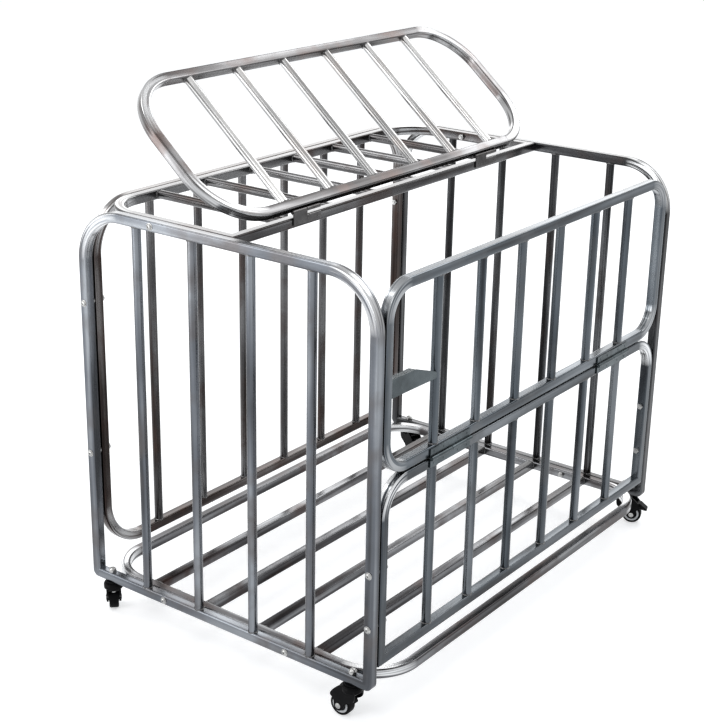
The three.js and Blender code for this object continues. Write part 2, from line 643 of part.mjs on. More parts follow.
function lidHinge([end, side]) {
  const name = `lid_hinge_${end}`;
  return groupAt([side * LID_HINGE_X, LID_AXIS_Y, LID_AXIS_Z], [
    piece(`${name}_fixed_leaf`, hingeLeaf(LID_FIXED_LEAF), STEEL),
    piece(`${name}_pin`, hingePin(LID_HINGE_LENGTH), ZINC),
  ]);
}

function openLid() {
  const leaves = SIDES.map(([end, side]) => {
    const leaf = piece(`lid_hinge_${end}_moving_leaf`, hingeLeaf(LID_MOVING_LEAF), STEEL);
    leaf.position.x = side * LID_HINGE_X;
    return leaf;
  });
  const group = groupAt([0, LID_AXIS_Y, LID_AXIS_Z], [piece("lid", lid(), STEEL), ...leaves]);
  group.rotation.x = THREE.MathUtils.degToRad(LID_OPEN_DEG);
  return group;
}

function caster({ name, side, depth, yawDeg, braked }) {
  const place = [side * END_X, depth * CASTER_Y, 0];
  const node = (part) => `caster_${name}_${part}`;
  const turning = groupAt(place, [
    piece(node("fork"), casterFork(braked), BLACK),
    piece(node("wheel"), casterWheel(), BLACK),
    piece(node("axle"), casterAxle(), ZINC),
  ]);
  if (braked) turning.add(piece(node("pedal"), casterPedal(), BLACK));
  turning.rotation.z = THREE.MathUtils.degToRad(yawDeg);
  return [groupAt(place, [piece(node("stem"), casterStem(), ZINC)]), turning];
}

const cart = new THREE.Group();
cart.add(...cagePieces(), ...boltPieces(), ...SIDES.map(doorHinge), ...SIDES.map(lidHinge), openLid());
cart.add(...CASTERS.flatMap(caster));

// The frame's origin is on the floor, in the middle of the whole cart's box.
const bounds = new THREE.Box3().setFromObject(cart, true);
cart.position.x = -(bounds.min.x + bounds.max.x) / 2;
cart.position.y = -(bounds.min.y + bounds.max.y) / 2;

export default new THREE.Group().add(cart);
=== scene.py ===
# %% [markdown]
# # A ball cart of polished steel tube
#
# The cart is a cage: panels bent from square steel tube, with round bars welded into them, bolted
# together on four swivel casters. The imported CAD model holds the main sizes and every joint. This
# script makes the surfaces that are seen: the tube with its rounded edges, the weld beads, the domed
# bolts, the folded hinges and the moulded casters.

import math

import bmesh
import bpy
import numpy as np
from mathutils import Matrix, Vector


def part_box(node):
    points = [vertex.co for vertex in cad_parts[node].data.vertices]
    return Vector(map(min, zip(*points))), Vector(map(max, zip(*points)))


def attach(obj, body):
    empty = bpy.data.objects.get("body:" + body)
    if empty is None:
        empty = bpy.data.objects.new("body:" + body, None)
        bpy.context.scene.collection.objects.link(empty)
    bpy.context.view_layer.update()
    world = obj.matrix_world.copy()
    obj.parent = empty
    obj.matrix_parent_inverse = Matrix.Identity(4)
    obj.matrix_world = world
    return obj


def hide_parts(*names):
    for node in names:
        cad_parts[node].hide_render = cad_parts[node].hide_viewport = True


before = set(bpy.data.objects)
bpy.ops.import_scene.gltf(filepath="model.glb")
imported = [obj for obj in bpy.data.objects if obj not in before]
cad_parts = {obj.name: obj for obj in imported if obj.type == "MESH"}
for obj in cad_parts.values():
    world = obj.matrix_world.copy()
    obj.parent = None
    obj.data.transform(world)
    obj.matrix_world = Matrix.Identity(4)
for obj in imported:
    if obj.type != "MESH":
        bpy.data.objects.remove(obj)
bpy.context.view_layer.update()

# %% [markdown]
# ## Measures
#
# Sizes that more than one piece shares are named once. The panels' own places come from the CAD
# nodes' boxes, so a piece can't drift from the solid that it stands for. HALF_CAGE is half the cage's
# length, and PANEL_OUT is the distance from the cage's middle to the middle of a long panel's tube.

# %% Measures in metres
MM = 0.001
TUBE = 22 * MM
HALF_TUBE = TUBE / 2
TUBE_CORNER = 3.4 * MM
BAR_RADIUS = 10 * MM
LONG_BARS, BAR_PITCH = 6, 156.5 * MM
END_BARS, END_BAR_PITCH = 4, 155.6 * MM
INTO_RAIL = 3 * MM
HALF_CAGE = 0.6
PANEL_OUT = 0.389
END_BEND = 121 * MM
FOOT_BEND = 15 * MM
LOWER_BEND = 82 * MM
DOOR_BEND = 78 * MM
BACK_BEND = 120 * MM
RING_BEND = 117 * MM
LID_BEND = 145 * MM
LID_LEAN = math.radians(40.3)
SHARP = math.radians(38)
X, Y, Z = np.eye(3)
ORIGIN = np.zeros(3)


def low_high(node):
    """A CAD node's two box corners as arrays."""
    low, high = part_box(node)
    return np.array(low), np.array(high)


left_low, left_high = low_high("end_panel_left")
right_high = low_high("end_panel_right")[1]
MIDDLE = np.array([(left_low[0] + right_high[0]) / 2, (left_low[1] + left_high[1]) / 2, 0.0])
print("middle of the cage:", MIDDLE.round(5), "cage top:", round(float(left_high[2]), 4))

# %% [markdown]
# ## Camera
#
# The camera stands where the photographer stood: in front of the left end, a little above the lid's
# height, looking down by about 20 degrees. Its place came from fitting a pinhole camera to the edges
# of the tubes, and its matrix is made of three directions: right, up and back.

# %% Camera
IMAGE_HEIGHT = 723
FOCAL_PIXELS = 1532.9
SENSOR = 36
CLIP_END = 50
AZIMUTH, ELEVATION, ROLL = math.radians(-53.09), math.radians(20.44), math.radians(1.0)
STAND = MIDDLE + np.array([-2.7652, -1.9648, 1.7940])


def placed(right_way, up_way, back_way, place):
    """The matrix of a camera or a lamp, whose columns are its three directions and its place."""
    rows = np.stack([right_way, up_way, back_way, place], -1)
    return Matrix([*rows.tolist(), [0, 0, 0, 1]])


def in_scene(name, data):
    """A new object that holds the given data, linked to the scene."""
    added = bpy.data.objects.new(name, data)
    bpy.context.scene.collection.objects.link(added)
    return added


back = np.array([
    math.sin(AZIMUTH) * math.cos(ELEVATION),
    -math.cos(AZIMUTH) * math.cos(ELEVATION),
    math.sin(ELEVATION),
])
level_right = np.cross(-back, Z)
level_right /= np.linalg.norm(level_right)
level_up = np.cross(level_right, -back)
right = math.cos(ROLL) * level_right + math.sin(ROLL) * level_up
up = -math.sin(ROLL) * level_right + math.cos(ROLL) * level_up

camera_data = bpy.data.cameras.new("camera")
camera_data.sensor_width = SENSOR
camera_data.lens = FOCAL_PIXELS * SENSOR / IMAGE_HEIGHT
camera_data.clip_end = CLIP_END
camera = in_scene("camera", camera_data)
camera.matrix_world = placed(right, up, back, STAND)
bpy.context.scene.camera = camera
print("camera at", STAND.round(3), "lens", round(camera_data.lens, 2))

# %% [markdown]
# ## Meshes from grids
#
# Almost every surface here is a function of two parameters worked out on a grid: rows along the piece
# and columns around it. The first column comes again as the last, and so does the first row of a
# closed ring. Merging the doubled points closes the seams, and keeps a UV map that runs without a
# jump: u is the way around in metres, and v is the way along. A second map says how far a point is
# into a bend: 0 on the straight, and 1 in the middle of a bend.

# %% From grids to pieces
MERGE = 2e-6
EDGE_SEGMENTS = 3
made = {}


def grid_part(points, uv=None):
    """Rows and columns of points as vertices, quads between neighbours, and (u, v, bend) for each."""
    rows, cols = points.shape[:2]
    index = np.arange(rows * cols).reshape(rows, cols)
    quads = np.stack([index[:-1, :-1], index[:-1, 1:], index[1:, 1:], index[1:, :-1]], -1)
    if uv is None:
        uv = np.zeros((rows, cols, 3))
    return points.reshape(-1, 3), quads.reshape(-1, 4).tolist(), uv.reshape(-1, 3)


def moved(parts, offset, turn=np.eye(3)):
    """The parts turned about the origin by a matrix, and then moved."""
    return [(points @ turn.T + offset, faces, uv) for points, faces, uv in parts]


def closed_mesh(name, parts):
    """Puts parts into one mesh, merges the doubled points and turns every shell's faces outwards."""
    offsets = np.cumsum([0] + [len(part[0]) for part in parts])
    vertices = np.concatenate([part[0] for part in parts])
    faces = [[i + offset for i in face] for part, offset in zip(parts, offsets) for face in part[1]]
    uv = np.concatenate([part[2] for part in parts])
    mesh = bpy.data.meshes.new(name)
    mesh.from_pydata(vertices.tolist(), [], faces)
    corners = np.empty(len(mesh.loops), dtype=np.int64)
    mesh.loops.foreach_get("vertex_index", corners)
    mesh.uv_layers.new(name="run").data.foreach_set("uv", uv[corners, :2].ravel())
    # The bend map places the painted highlight that the steel lays in each bend.
    bend = np.repeat(uv[corners, 2:], 2, 1)
    mesh.uv_layers.new(name="bend").data.foreach_set("uv", bend.ravel())
    work = bmesh.new()
    work.from_mesh(mesh)
    bmesh.ops.remove_doubles(work, verts=work.verts, dist=MERGE)
    bmesh.ops.recalc_face_normals(work, faces=work.faces)
    work.to_mesh(mesh)
    work.free()
    mesh.shade_smooth()
    mesh.set_sharp_from_angle(angle=SHARP)
    return mesh


def piece(name, parts, material, body, nodes, bevel=0.0):
    """One finished piece: it rides on a CAD body and stands for the CAD nodes named."""
    made_piece = in_scene(name, closed_mesh(name, parts))
    made_piece.data.materials.append(material)
    if bevel:
        edge = made_piece.modifiers.new("edge", "BEVEL")
        edge.width = bevel
        edge.segments = EDGE_SEGMENTS
        edge.limit_method = "ANGLE"
        edge.angle_limit = SHARP
    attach(made_piece, body)
    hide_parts(*nodes)
    made[name] = len(made_piece.data.polygons)


# %% [markdown]
# ## Shapes that repeat
#
# A bent tube is a rounded square carried along a path. A bolt head or a wheel is a profile turned
# about an axis. A folded plate or a moulded cheek is an outline given a thickness. These three, and
# a ring of weld, make the whole cart.

# %% A profile carried along a path
EDGE_FLAT = 0.9 * MM
EDGE_STEPS = 6
BAR_STEPS = 40
BEND_STEPS, CORNER_STEPS = 24, 8
BEND_POWER = 0.7
OWN_SHIFT = 3.7
END_CAP = np.array([[0, 0], [0, 0.72], [0.5, 0.86], [1.4, 0.95], [3.0, 1.0]])  # mm along, share of width


def full_turn(steps):
    """Angles once round, the first one repeated at the end."""
    return np.linspace(0, 2 * np.pi, steps + 1)


def on_circle(angle):
    """The points of a unit circle at the given angles."""
    return np.stack([np.cos(angle), np.sin(angle)], -1)


def rounded_square(half, radius):
    """Four arcs joined by flats, with one more point on each flat beside each arc."""
    rows = []
    for quarter in range(4):
        angle = np.linspace(0, np.pi / 2, EDGE_STEPS + 1) + quarter * np.pi / 2
        turn = on_circle(angle[0])
        side = np.array([-turn[1], turn[0]])
        centre = (half - radius) * (turn + side)
        arc = centre + radius * on_circle(angle)
        rows += [[arc[0] - EDGE_FLAT * side], arc, [arc[-1] - EDGE_FLAT * turn]]
    ring = np.concatenate(rows)
    return np.concatenate([ring, ring[:1]])


TUBE_PROFILE = rounded_square(HALF_TUBE, TUBE_CORNER)
BAR_PROFILE = BAR_RADIUS * on_circle(full_turn(BAR_STEPS))


def steps_along(points):
    """The distance from the first point to each point, measured along the line."""
    return np.concatenate([[0], np.cumsum(np.linalg.norm(np.diff(points, axis=0), axis=-1))])


def carry(profile, path, normals, across, scale=None, bend=None):
    """Path point, plus the profile's x along the path's normal, plus its y along `across`.

    Each path reads the finish's pattern from a place of its own, which its first point gives.
    """
    scale = np.ones(len(path)) if scale is None else scale
    bend = np.zeros(len(path)) if bend is None else bend
    shaped = scale[:, None, None] * profile[None]
    points = path[:, None] + shaped[..., :1] * normals[:, None] + shaped[..., 1:] * np.asarray(across)
    along, around = np.meshgrid(steps_along(path), steps_along(profile), indexing="ij")
    own = OWN_SHIFT * float(np.abs(path[0]).sum())
    bends = np.repeat(bend[:, None], len(profile), 1)
    return grid_part(points, np.stack([around + own, along + own, bends], -1))


def ring_path(left, right, low, high, low_radius, high_radius):
    """The middle line of a bent frame in its own plane, the way outwards, and the share of bend.

    A bend is a quarter circle. In a corner tighter than the tube is wide, the inner side is one point
    and only the outer side is an arc, so the way out is stretched from the one to the other. Without
    any radius that is a mitre. The share of bend is sin(pi x the part of the bend that lies behind),
    to the power 0.7, so it rises fast at the bend's two ends.
    """
    rows, outs, shares = [], [], []
    corners = [
        (right, low, low_radius, -1),
        (right, high, high_radius, 0),
        (left, high, high_radius, 1),
        (left, low, low_radius, 2),
    ]
    for u, v, radius, quarter in corners:
        bent = radius > TUBE
        steps = BEND_STEPS if bent else CORNER_STEPS
        turn = np.linspace(0, 1, steps + 1) if radius else np.array([0.5])
        out = on_circle((turn + quarter) * np.pi / 2)
        sign = np.sign(on_circle((quarter + 0.5) * math.pi / 2))
        inner = np.array([u, v]) - sign * max(radius, TUBE) + max(radius - TUBE, 0) * out
        outer = np.array([u, v]) - sign * radius + radius * out
        rows.append((inner + outer) / 2)
        outs.append((outer - inner) / TUBE)
        shares.append(np.sin(np.pi * turn).clip(0) ** BEND_POWER if bent else 0 * turn)
    return [np.concatenate(lists + [lists[0][:1]]) for lists in (rows, outs, shares)]


def into_space(flat, first, second, origin):
    """Puts plane points into space: origin plus u along `first` plus v along `second`."""
    return np.asarray(origin) + flat[:, :1] * np.asarray(first) + flat[:, 1:] * np.asarray(second)


def tube_ring(edges, radii, first, second, origin):
    """A closed bent frame of square tube. Its edges are left, right, low and high in its own plane."""
    path, outs, shares = ring_path(*edges, *radii)
    return carry(TUBE_PROFILE, into_space(path, first, second, origin),
                 into_space(outs, first, second, ORIGIN), np.cross(first, second), bend=shares)


def straight_tube(start, stop, out):
    """A straight square tube whose two ends are closed and slightly rounded.

    `out` is the way of one of its faces.
    """
    start, stop = np.asarray(start, float), np.asarray(stop, float)
    length = np.linalg.norm(stop - start)
    way = (stop - start) / length
    reach = np.concatenate([END_CAP[:, 0] * MM, length - END_CAP[::-1, 0] * MM])
    scale = np.concatenate([END_CAP[:, 1], END_CAP[::-1, 1]])
    normals = np.repeat(out[None], len(reach), 0)
    return carry(TUBE_PROFILE, start + reach[:, None] * way, normals, np.cross(out, way), scale)


def round_bar(start, stop, out):
    """A round bar with flat closed ends."""
    path = np.array([start, start, stop, stop], float)
    way = (path[-1] - path[0]) / np.linalg.norm(path[-1] - path[0])
    normals = np.repeat(out[None], len(path), 0)
    return carry(BAR_PROFILE, path, normals, np.cross(out, way), np.array([0, 1, 1, 0.0]))


# %% A profile turned about an axis
HEXAGON_STEPS = 60


def spokes(axis, angle):
    """Unit vectors square to the axis, one for each angle about it."""
    first = np.cross(axis, X if abs(axis[0]) < 0.9 else Y)
    first /= np.linalg.norm(first)
    return np.cos(angle)[:, None] * first + np.sin(angle)[:, None] * np.cross(axis, first)


def turned(profile, centre, axis, sides=48):
    """Radius and height of the profile in mm, carried round the axis: each row is one full circle."""
    profile = np.asarray(profile, float) * MM
    angle = full_turn(sides)
    points = np.asarray(centre) + profile[:, None, :1] * spokes(axis, angle) + profile[:, None, 1:] * axis
    around = profile[:, 0].max() * angle[None]
    along = steps_along(profile)[:, None]
    return grid_part(points, np.stack(np.broadcast_arrays(around, along, 0.0), -1))


def hexagon_turned(rows, centre, axis):
    """A nut: each row has a corner radius, a round limit and a height, in mm.

    The radius is the hexagon's, (flat half-width) / cos(angle from the flat's middle), but never more
    than the round limit, which is what makes the chamfer's curved edges.
    """
    rows = np.asarray(rows, float) * MM
    angle = full_turn(HEXAGON_STEPS)
    sixth = math.pi / 3
    hexagon = math.cos(sixth / 2) / np.cos((angle + sixth / 2) % sixth - sixth / 2)
    radius = np.minimum(rows[:, :1] * hexagon, rows[:, 1:2])[..., None]
    return grid_part(np.asarray(centre) + radius * spokes(axis, angle) + rows[:, None, 2:] * axis)


# %% An outline with a thickness
CORNER_CUTS = 2


def rectangle(left, right, low, high):
    """The outline of a rectangle."""
    return [[left, low], [right, low], [right, high], [left, high]]


def softened(outline):
    """Cuts each corner at a quarter and three quarters of its sides, twice, which rounds the outline."""
    points = np.asarray(outline, float)
    for _ in range(CORNER_CUTS):
        following = np.roll(points, -1, 0)
        points = np.stack([0.75 * points + 0.25 * following, 0.25 * points + 0.75 * following], 1)
        points = points.reshape(-1, 2)
    return points


def plate(outline, near, far, first, second):
    """A flat outline in mm, between two depths in mm along first x second."""
    outline = np.asarray(outline, float) * MM
    count = len(outline)
    third = np.cross(first, second)
    flat = into_space(outline, first, second, ORIGIN)
    vertices = np.concatenate([flat + near * MM * third, flat + far * MM * third])
    sides = [[i, (i + 1) % count, (i + 1) % count + count, i + count] for i in range(count)]
    faces = sides + [list(range(count))[::-1], list(range(count, 2 * count))]
    return vertices, faces, np.pad(np.concatenate([outline, outline]), ((0, 0), (0, 1)))


# %% A ring of weld
WELD_THICKNESS = 1.6 * MM
WELD_ROUND, WELD_ACROSS = 56, 8
COARSE_WAVES, FINE_WAVES = 11, 23
COARSE_SHARE, FINE_SHARE = 0.2, 0.12
SQUARE_REACH = 1.28
EDGE_SHARE = 0.98


def weld_ring(centre, open_way, across, radius, square=False, seed=0.0):
    """A lumpy bead around the end of a bar, where it meets a rail.

    Around the bar the bead's thickness swings with two sine waves, as a hand-made weld's does. It
    sinks at the rail's two rounded edges, and never stands proud of the rail's sides, where it is
    ground flush. A square bead follows the outline of a square tube, with its corners cut off at
    1.28 half-widths, and doesn't sink.
    """
    along = np.cross(open_way, across)
    u = full_turn(WELD_ROUND)[:, None]
    v = full_turn(WELD_ACROSS)[None]
    coarse = COARSE_SHARE * np.sin(COARSE_WAVES * u + seed)
    fine = FINE_SHARE * np.sin(FINE_WAVES * u + 3 * seed)
    thick = WELD_THICKNESS * (1 + coarse + fine)
    corner = 1 / np.maximum(np.abs(np.cos(u)), np.abs(np.sin(u)))
    reach = radius * (np.minimum(corner, SQUARE_REACH) if square else np.ones_like(u))
    out = reach + thick * np.cos(v)
    over = np.maximum(np.abs(reach * np.cos(u)) - (HALF_TUBE - TUBE_CORNER), 0)
    within = np.minimum(over, EDGE_SHARE * TUBE_CORNER)
    sink = 0 if square else TUBE_CORNER - np.sqrt(TUBE_CORNER**2 - within**2)
    lift = thick * np.sin(v) - sink
    flush = np.clip(out * np.cos(u), -HALF_TUBE, HALF_TUBE)
    points = (np.asarray(centre) + flush[..., None] * across
              + (out * np.sin(u))[..., None] * along + lift[..., None] * open_way)
    return grid_part(points)


print("tube profile points:", len(TUBE_PROFILE))

# %% [markdown]
# ## Finishes
#
# The tube is stainless steel, polished along its length. That leaves very fine lines that run the
# way of the tube, so the pattern reads the UV map that was laid along each tube, not the space around
# it. On top of that come broad, faint changes of tone, which a polished tube shows where the wheel
# pressed more or less. The colours also hold painted light: bands of painted reflection, a painted
# highlight in each bend, and a tone and tint for each panel that are painted reflection and painted
# shade, because each mirrors another part of what stood around it and gets more or less light.


# %% Node helpers
def fill(tree, node, inputs):
    """Links each input, given by name or number, to an output, or gives it a plain value."""
    for name, value in inputs.items():
        if isinstance(value, bpy.types.NodeSocket):
            tree.links.new(value, node.inputs[name])
        else:
            node.inputs[name].default_value = value
    return node


def new_finish(name):
    """A new material, its node tree and its shader."""
    material = bpy.data.materials.new(name)
    material.use_nodes = True
    return material, material.node_tree, material.node_tree.nodes["Principled BSDF"]


def maths(tree, operation, *values):
    """The result of a math node on outputs or plain numbers."""
    node = tree.nodes.new("ShaderNodeMath")
    node.operation = operation
    return fill(tree, node, dict(enumerate(values))).outputs[0]


def blended(tree, share, first, second):
    """Two colours mixed by a share: 0 is the first, and 1 is the second."""
    node = tree.nodes.new("ShaderNodeMix")
    node.data_type = "RGBA"
    return fill(tree, node, {"Factor": share, "A": first, "B": second}).outputs["Result"]


def uv_map(tree, name):
    """The coordinates in one of the two UV maps."""
    node = tree.nodes.new("ShaderNodeUVMap")
    node.uv_map = name
    return node.outputs["UV"]


def noise(tree, vector, scale, detail=2.0, rough=0.5):
    """A noise that reads the given coordinates."""
    node = tree.nodes.new("ShaderNodeTexNoise")
    fill(tree, node, {"Vector": vector, "Scale": scale, "Detail": detail, "Roughness": rough})
    return node.outputs["Fac"]


def between(tree, value, low, high, start=0.3, stop=0.7):
    """Spreads a noise value over a range of its own."""
    node = tree.nodes.new("ShaderNodeMapRange")
    ranges = {"From Min": start, "From Max": stop, "To Min": low, "To Max": high}
    return fill(tree, node, {"Value": value, **ranges}).outputs["Result"]


def tones(tree, value, colours, spread=0.2):
    """A ramp through the given colours, over the given spread of the value to each side of its middle."""
    node = tree.nodes.new("ShaderNodeValToRGB")
    ramp = node.color_ramp
    while len(ramp.elements) < len(colours):
        ramp.elements.new(0.5)
    stops = np.linspace(0.5 - spread, 0.5 + spread, len(colours))
    for element, stop, colour in zip(ramp.elements, stops, colours):
        element.position = float(stop)
        element.color = (*colour, 1)
    return fill(tree, node, {"Fac": value}).outputs["Color"]


def bump(tree, height, shader, strength, distance):
    """Turns a height into a change of normal."""
    node = tree.nodes.new("ShaderNodeBump")
    fill(tree, node, {"Strength": strength, "Distance": distance, "Height": height})
    tree.links.new(node.outputs["Normal"], shader.inputs["Normal"])


def stretched(tree, coordinates, scale):
    """The same coordinates, stretched by a different amount each way."""
    node = tree.nodes.new("ShaderNodeMapping")
    return fill(tree, node, {"Vector": coordinates, "Scale": scale}).outputs["Vector"]


# %% Polished tube
BAND_SCALE, STREAK_SCALE, LINE_SCALE = (48, 1.7, 1), (170, 5, 1), (1500, 14, 1)
BAND_SHARE, BROAD_SHARE = 0.7, 0.3
BAND_SPREAD = 0.13
BROAD_SCALE, TINT_SCALE = 4.5, 8.0
TINT_SHARE = 0.75
TINT_RANGE, STREAK_RANGE = (0.5, 0.68), (0.4, 0.54)
LINE_STRENGTH, LINE_HEIGHT = 0.02, 0.00002
BEND_HIGHLIGHT_COLOUR = (0.80, 0.81, 0.82, 1)
TUBE_ROUGHNESS = (0.15, 0.27)


def polished_tube(name, colours, tint, highlight_strength=0.9):
    """Steel polished lengthwise.

    Long soft bands run along the tube: a painted reflection of a room in its flats and its bends. They
    come from a noise that is about 28 times longer along the tube than across it. A broad noise shifts
    them from place to place, a third one lays a faint tint of another colour over some stretches, a
    painted reflection of warm things around it, and the finest lines change the roughness, and the
    normal by very little. A bend gets a painted highlight: a lighter colour, in streaks that follow it round.
    """
    material, tree, shader = new_finish(name)
    where = tree.nodes.new("ShaderNodeTexCoord").outputs["Object"]
    run = uv_map(tree, "run")
    bands = noise(tree, stretched(tree, run, BAND_SCALE), 1.0, 2.0, 0.4)
    broad = noise(tree, where, BROAD_SCALE, 3.0, 0.5)
    tone = maths(tree, "MULTIPLY_ADD", bands, BAND_SHARE, maths(tree, "MULTIPLY", broad, BROAD_SHARE))
    reflected_tint_share = between(tree, noise(tree, where, TINT_SCALE, 3.0, 0.6), 0.0, TINT_SHARE, *TINT_RANGE)
    # Painted reflection: the ramp of tones and the warm tint stand for the room and warm things that the tube
    # mirrors.
    straight = blended(tree, reflected_tint_share, tones(tree, tone, colours, BAND_SPREAD), (*tint, 1))
    into_bend = tree.nodes.new("ShaderNodeSeparateXYZ")
    tree.links.new(uv_map(tree, "bend"), into_bend.inputs[0])
    streaks = noise(tree, stretched(tree, run, STREAK_SCALE), 1.0, 1.0, 0.5)
    # Painted highlight: each bend is lightened towards a pale grey, in streaks.
    painted_highlight_share = maths(tree, "MULTIPLY", into_bend.outputs["X"],
                  between(tree, streaks, 0.0, highlight_strength, *STREAK_RANGE))
    lines = noise(tree, stretched(tree, run, LINE_SCALE), 1.0, 2.0, 0.6)
    fill(tree, shader, {
        "Base Color": blended(tree, painted_highlight_share, straight, BEND_HIGHLIGHT_COLOUR),
        "Roughness": between(tree, lines, *TUBE_ROUGHNESS),
        "Metallic": 1.0,
    })
    bump(tree, lines, shader, LINE_STRENGTH, LINE_HEIGHT)
    return material


# Each panel's copy of the steel is painted reflection and painted shade: its tones and its tint are darker,
# lighter or warmer as the part of the room that it mirrors and the light on it. The last number is the
# strength of the painted highlight in its bends.
END_STEEL = polished_tube(
    "end_tube_steel", [(0.058, 0.061, 0.067), (0.128, 0.138, 0.155), (0.25, 0.265, 0.285)],
    (0.105, 0.096, 0.094), 0.6)
FRONT_STEEL = polished_tube(
    "front_tube_steel", [(0.026, 0.029, 0.033), (0.068, 0.078, 0.088), (0.155, 0.168, 0.182)],
    (0.08, 0.084, 0.088))
DOOR_STEEL = polished_tube(
    "door_tube_steel", [(0.032, 0.036, 0.041), (0.084, 0.097, 0.110), (0.175, 0.192, 0.21)],
    (0.10, 0.105, 0.11), 0.35)
BACK_STEEL = polished_tube(
    "back_tube_steel", [(0.03, 0.027, 0.026), (0.078, 0.077, 0.079), (0.17, 0.17, 0.173)],
    (0.05, 0.034, 0.03), 0.5)
BACK_FRAME_STEEL = polished_tube(
    "back_frame_steel", [(0.012, 0.009, 0.008), (0.04, 0.032, 0.03), (0.13, 0.122, 0.12)],
    (0.045, 0.026, 0.021), 0.5)
RIGHT_END_STEEL = polished_tube(
    "right_end_steel", [(0.012, 0.012, 0.0125), (0.038, 0.039, 0.041), (0.11, 0.113, 0.118)],
    (0.038, 0.031, 0.029))
BASE_STEEL = polished_tube(
    "base_tube_steel", [(0.014, 0.012, 0.012), (0.07, 0.07, 0.074), (0.25, 0.255, 0.265)],
    (0.048, 0.031, 0.027))
LID_STEEL = polished_tube(
    "lid_tube_steel", [(0.04, 0.038, 0.038), (0.11, 0.108, 0.11), (0.27, 0.27, 0.275)],
    (0.10, 0.072, 0.065), 0.6)
# The lid's bars face up, so their steel is painted much lighter than the other bars: a painted highlight.
LIT_LID_BAR_STEEL = polished_tube(
    "lid_bar_painted_highlight_steel", [(0.22, 0.22, 0.22), (0.46, 0.46, 0.46), (0.8, 0.8, 0.79)], (0.34, 0.31, 0.295))

# %% Weld, plated hardware and moulded plastic
GRAIN_STRENGTH = 0.35
ROUGH_FINER = 2.5


def grained(name, colours, rough, metallic, scale, height, tone_scale=40.0, gloss=0.5):
    """A finish with two tones in soft patches, its own range of roughness and a fine even grain."""
    material, tree, shader = new_finish(name)
    where = tree.nodes.new("ShaderNodeTexCoord").outputs["Object"]
    patches = noise(tree, where, tone_scale * ROUGH_FINER, 2.0)
    fill(tree, shader, {
        "Base Color": tones(tree, noise(tree, where, tone_scale, 3.0), colours),
        "Roughness": between(tree, patches, *rough),
        "Metallic": metallic,
        "Specular IOR Level": gloss,
    })
    bump(tree, noise(tree, where, scale, 2.0), shader, GRAIN_STRENGTH, height)
    return material


WELD_STEEL = grained(
    "weld_bead", [(0.085, 0.082, 0.08), (0.20, 0.20, 0.205)],
    (0.3, 0.5), 1.0, 900, 0.0002, 260.0)
SHEET_STEEL = grained(
    "folded_sheet_steel", [(0.052, 0.063, 0.068), (0.10, 0.12, 0.129)],
    (0.2, 0.36), 1.0, 700, 0.00003, 22.0)
# A darker copy of the sheet steel for the lid's hinges: painted shade, which also dims their highlights.
SHADED_SHEET_STEEL = grained(
    "shaded_sheet_steel", [(0.045, 0.042, 0.042), (0.12, 0.117, 0.117)],
    (0.24, 0.4), 1.0, 700, 0.00003, 22.0)
PLATED_STEEL = grained(
    "plated_hardware", [(0.30, 0.30, 0.30), (0.50, 0.50, 0.49)],
    (0.18, 0.32), 1.0, 1200, 0.00008, 120.0)
BLACK_PLASTIC = grained(
    "moulded_black_plastic", [(0.002, 0.002, 0.0025), (0.004, 0.004, 0.0045)],
    (0.28, 0.42), 0.0, 1800, 0.00015, gloss=0.06)
WHEEL_RUBBER = grained(
    "tyre_rubber", [(0.002, 0.002, 0.0025), (0.005, 0.005, 0.005)],
    (0.42, 0.6), 0.0, 1500, 0.0002, 90.0, 0.06)
GREY_PLASTIC = grained(
    "wheel_ring_grey_plastic", [(0.50, 0.51, 0.52), (0.62, 0.63, 0.64)],
    (0.35, 0.5), 0.0, 1600, 0.0001)
print("finishes:", [material.name for material in bpy.data.materials])

# %% [markdown]
# ## Panels
#
# Every panel is made in the same three pieces: the bent frame, its bars and the weld at both ends of
# each bar. Only the plane that it lies in changes. A bar runs 3 mm into the rail, so no gap shows.


# %% A panel from its plane
def places(count, pitch):
    """Evenly spaced places, centred on zero."""
    return (np.arange(count) - (count - 1) / 2) * pitch


def bars_and_welds(centres, reach, first, second, origin):
    """Bars along `second` at the given places along `first`, and a weld ring at both ends of each."""
    across = np.cross(first, second)
    low, high = reach
    bars, welds = [], []
    for number, place in enumerate(centres):
        foot = np.asarray(origin) + place * first
        bars.append(round_bar(foot + (low - INTO_RAIL) * second, foot + (high + INTO_RAIL) * second, first))
        welds.append(weld_ring(foot + low * second, second, across, BAR_RADIUS, seed=number * 1.7))
        welds.append(weld_ring(foot + high * second, -second, across, BAR_RADIUS, seed=number * 2.3 + 1))
    return bars, welds


def panel(name, node, body, frames, bars, welds, steel, bar_steel=None):
    """The three pieces of one panel."""
    rows = (("tube", frames, steel), ("bars", bars, bar_steel or steel), ("welds", welds, WELD_STEEL))
    for part, parts, finish in rows:
        piece(f"{name}_{part}", parts, finish, body, [node])


# %% End panels
def end_panel(name, node, steel):
    """One closed ring: wide bends over the top, and tight ones at the feet."""
    low, high = low_high(node)
    x = (low[0] + high[0]) / 2
    ring = tube_ring((low[1], high[1], low[2], high[2]), (FOOT_BEND, END_BEND), Y, Z, (x, 0, 0))
    bars, welds = bars_and_welds(
        places(END_BARS, END_BAR_PITCH), (low[2] + TUBE, high[2] - TUBE), Y, Z, (x, MIDDLE[1], 0))
    panel(name, node, "cage", [ring], bars, welds, steel)


end_panel("left_end", "end_panel_left", END_STEEL)
end_panel("right_end", "end_panel_right", RIGHT_END_STEEL)


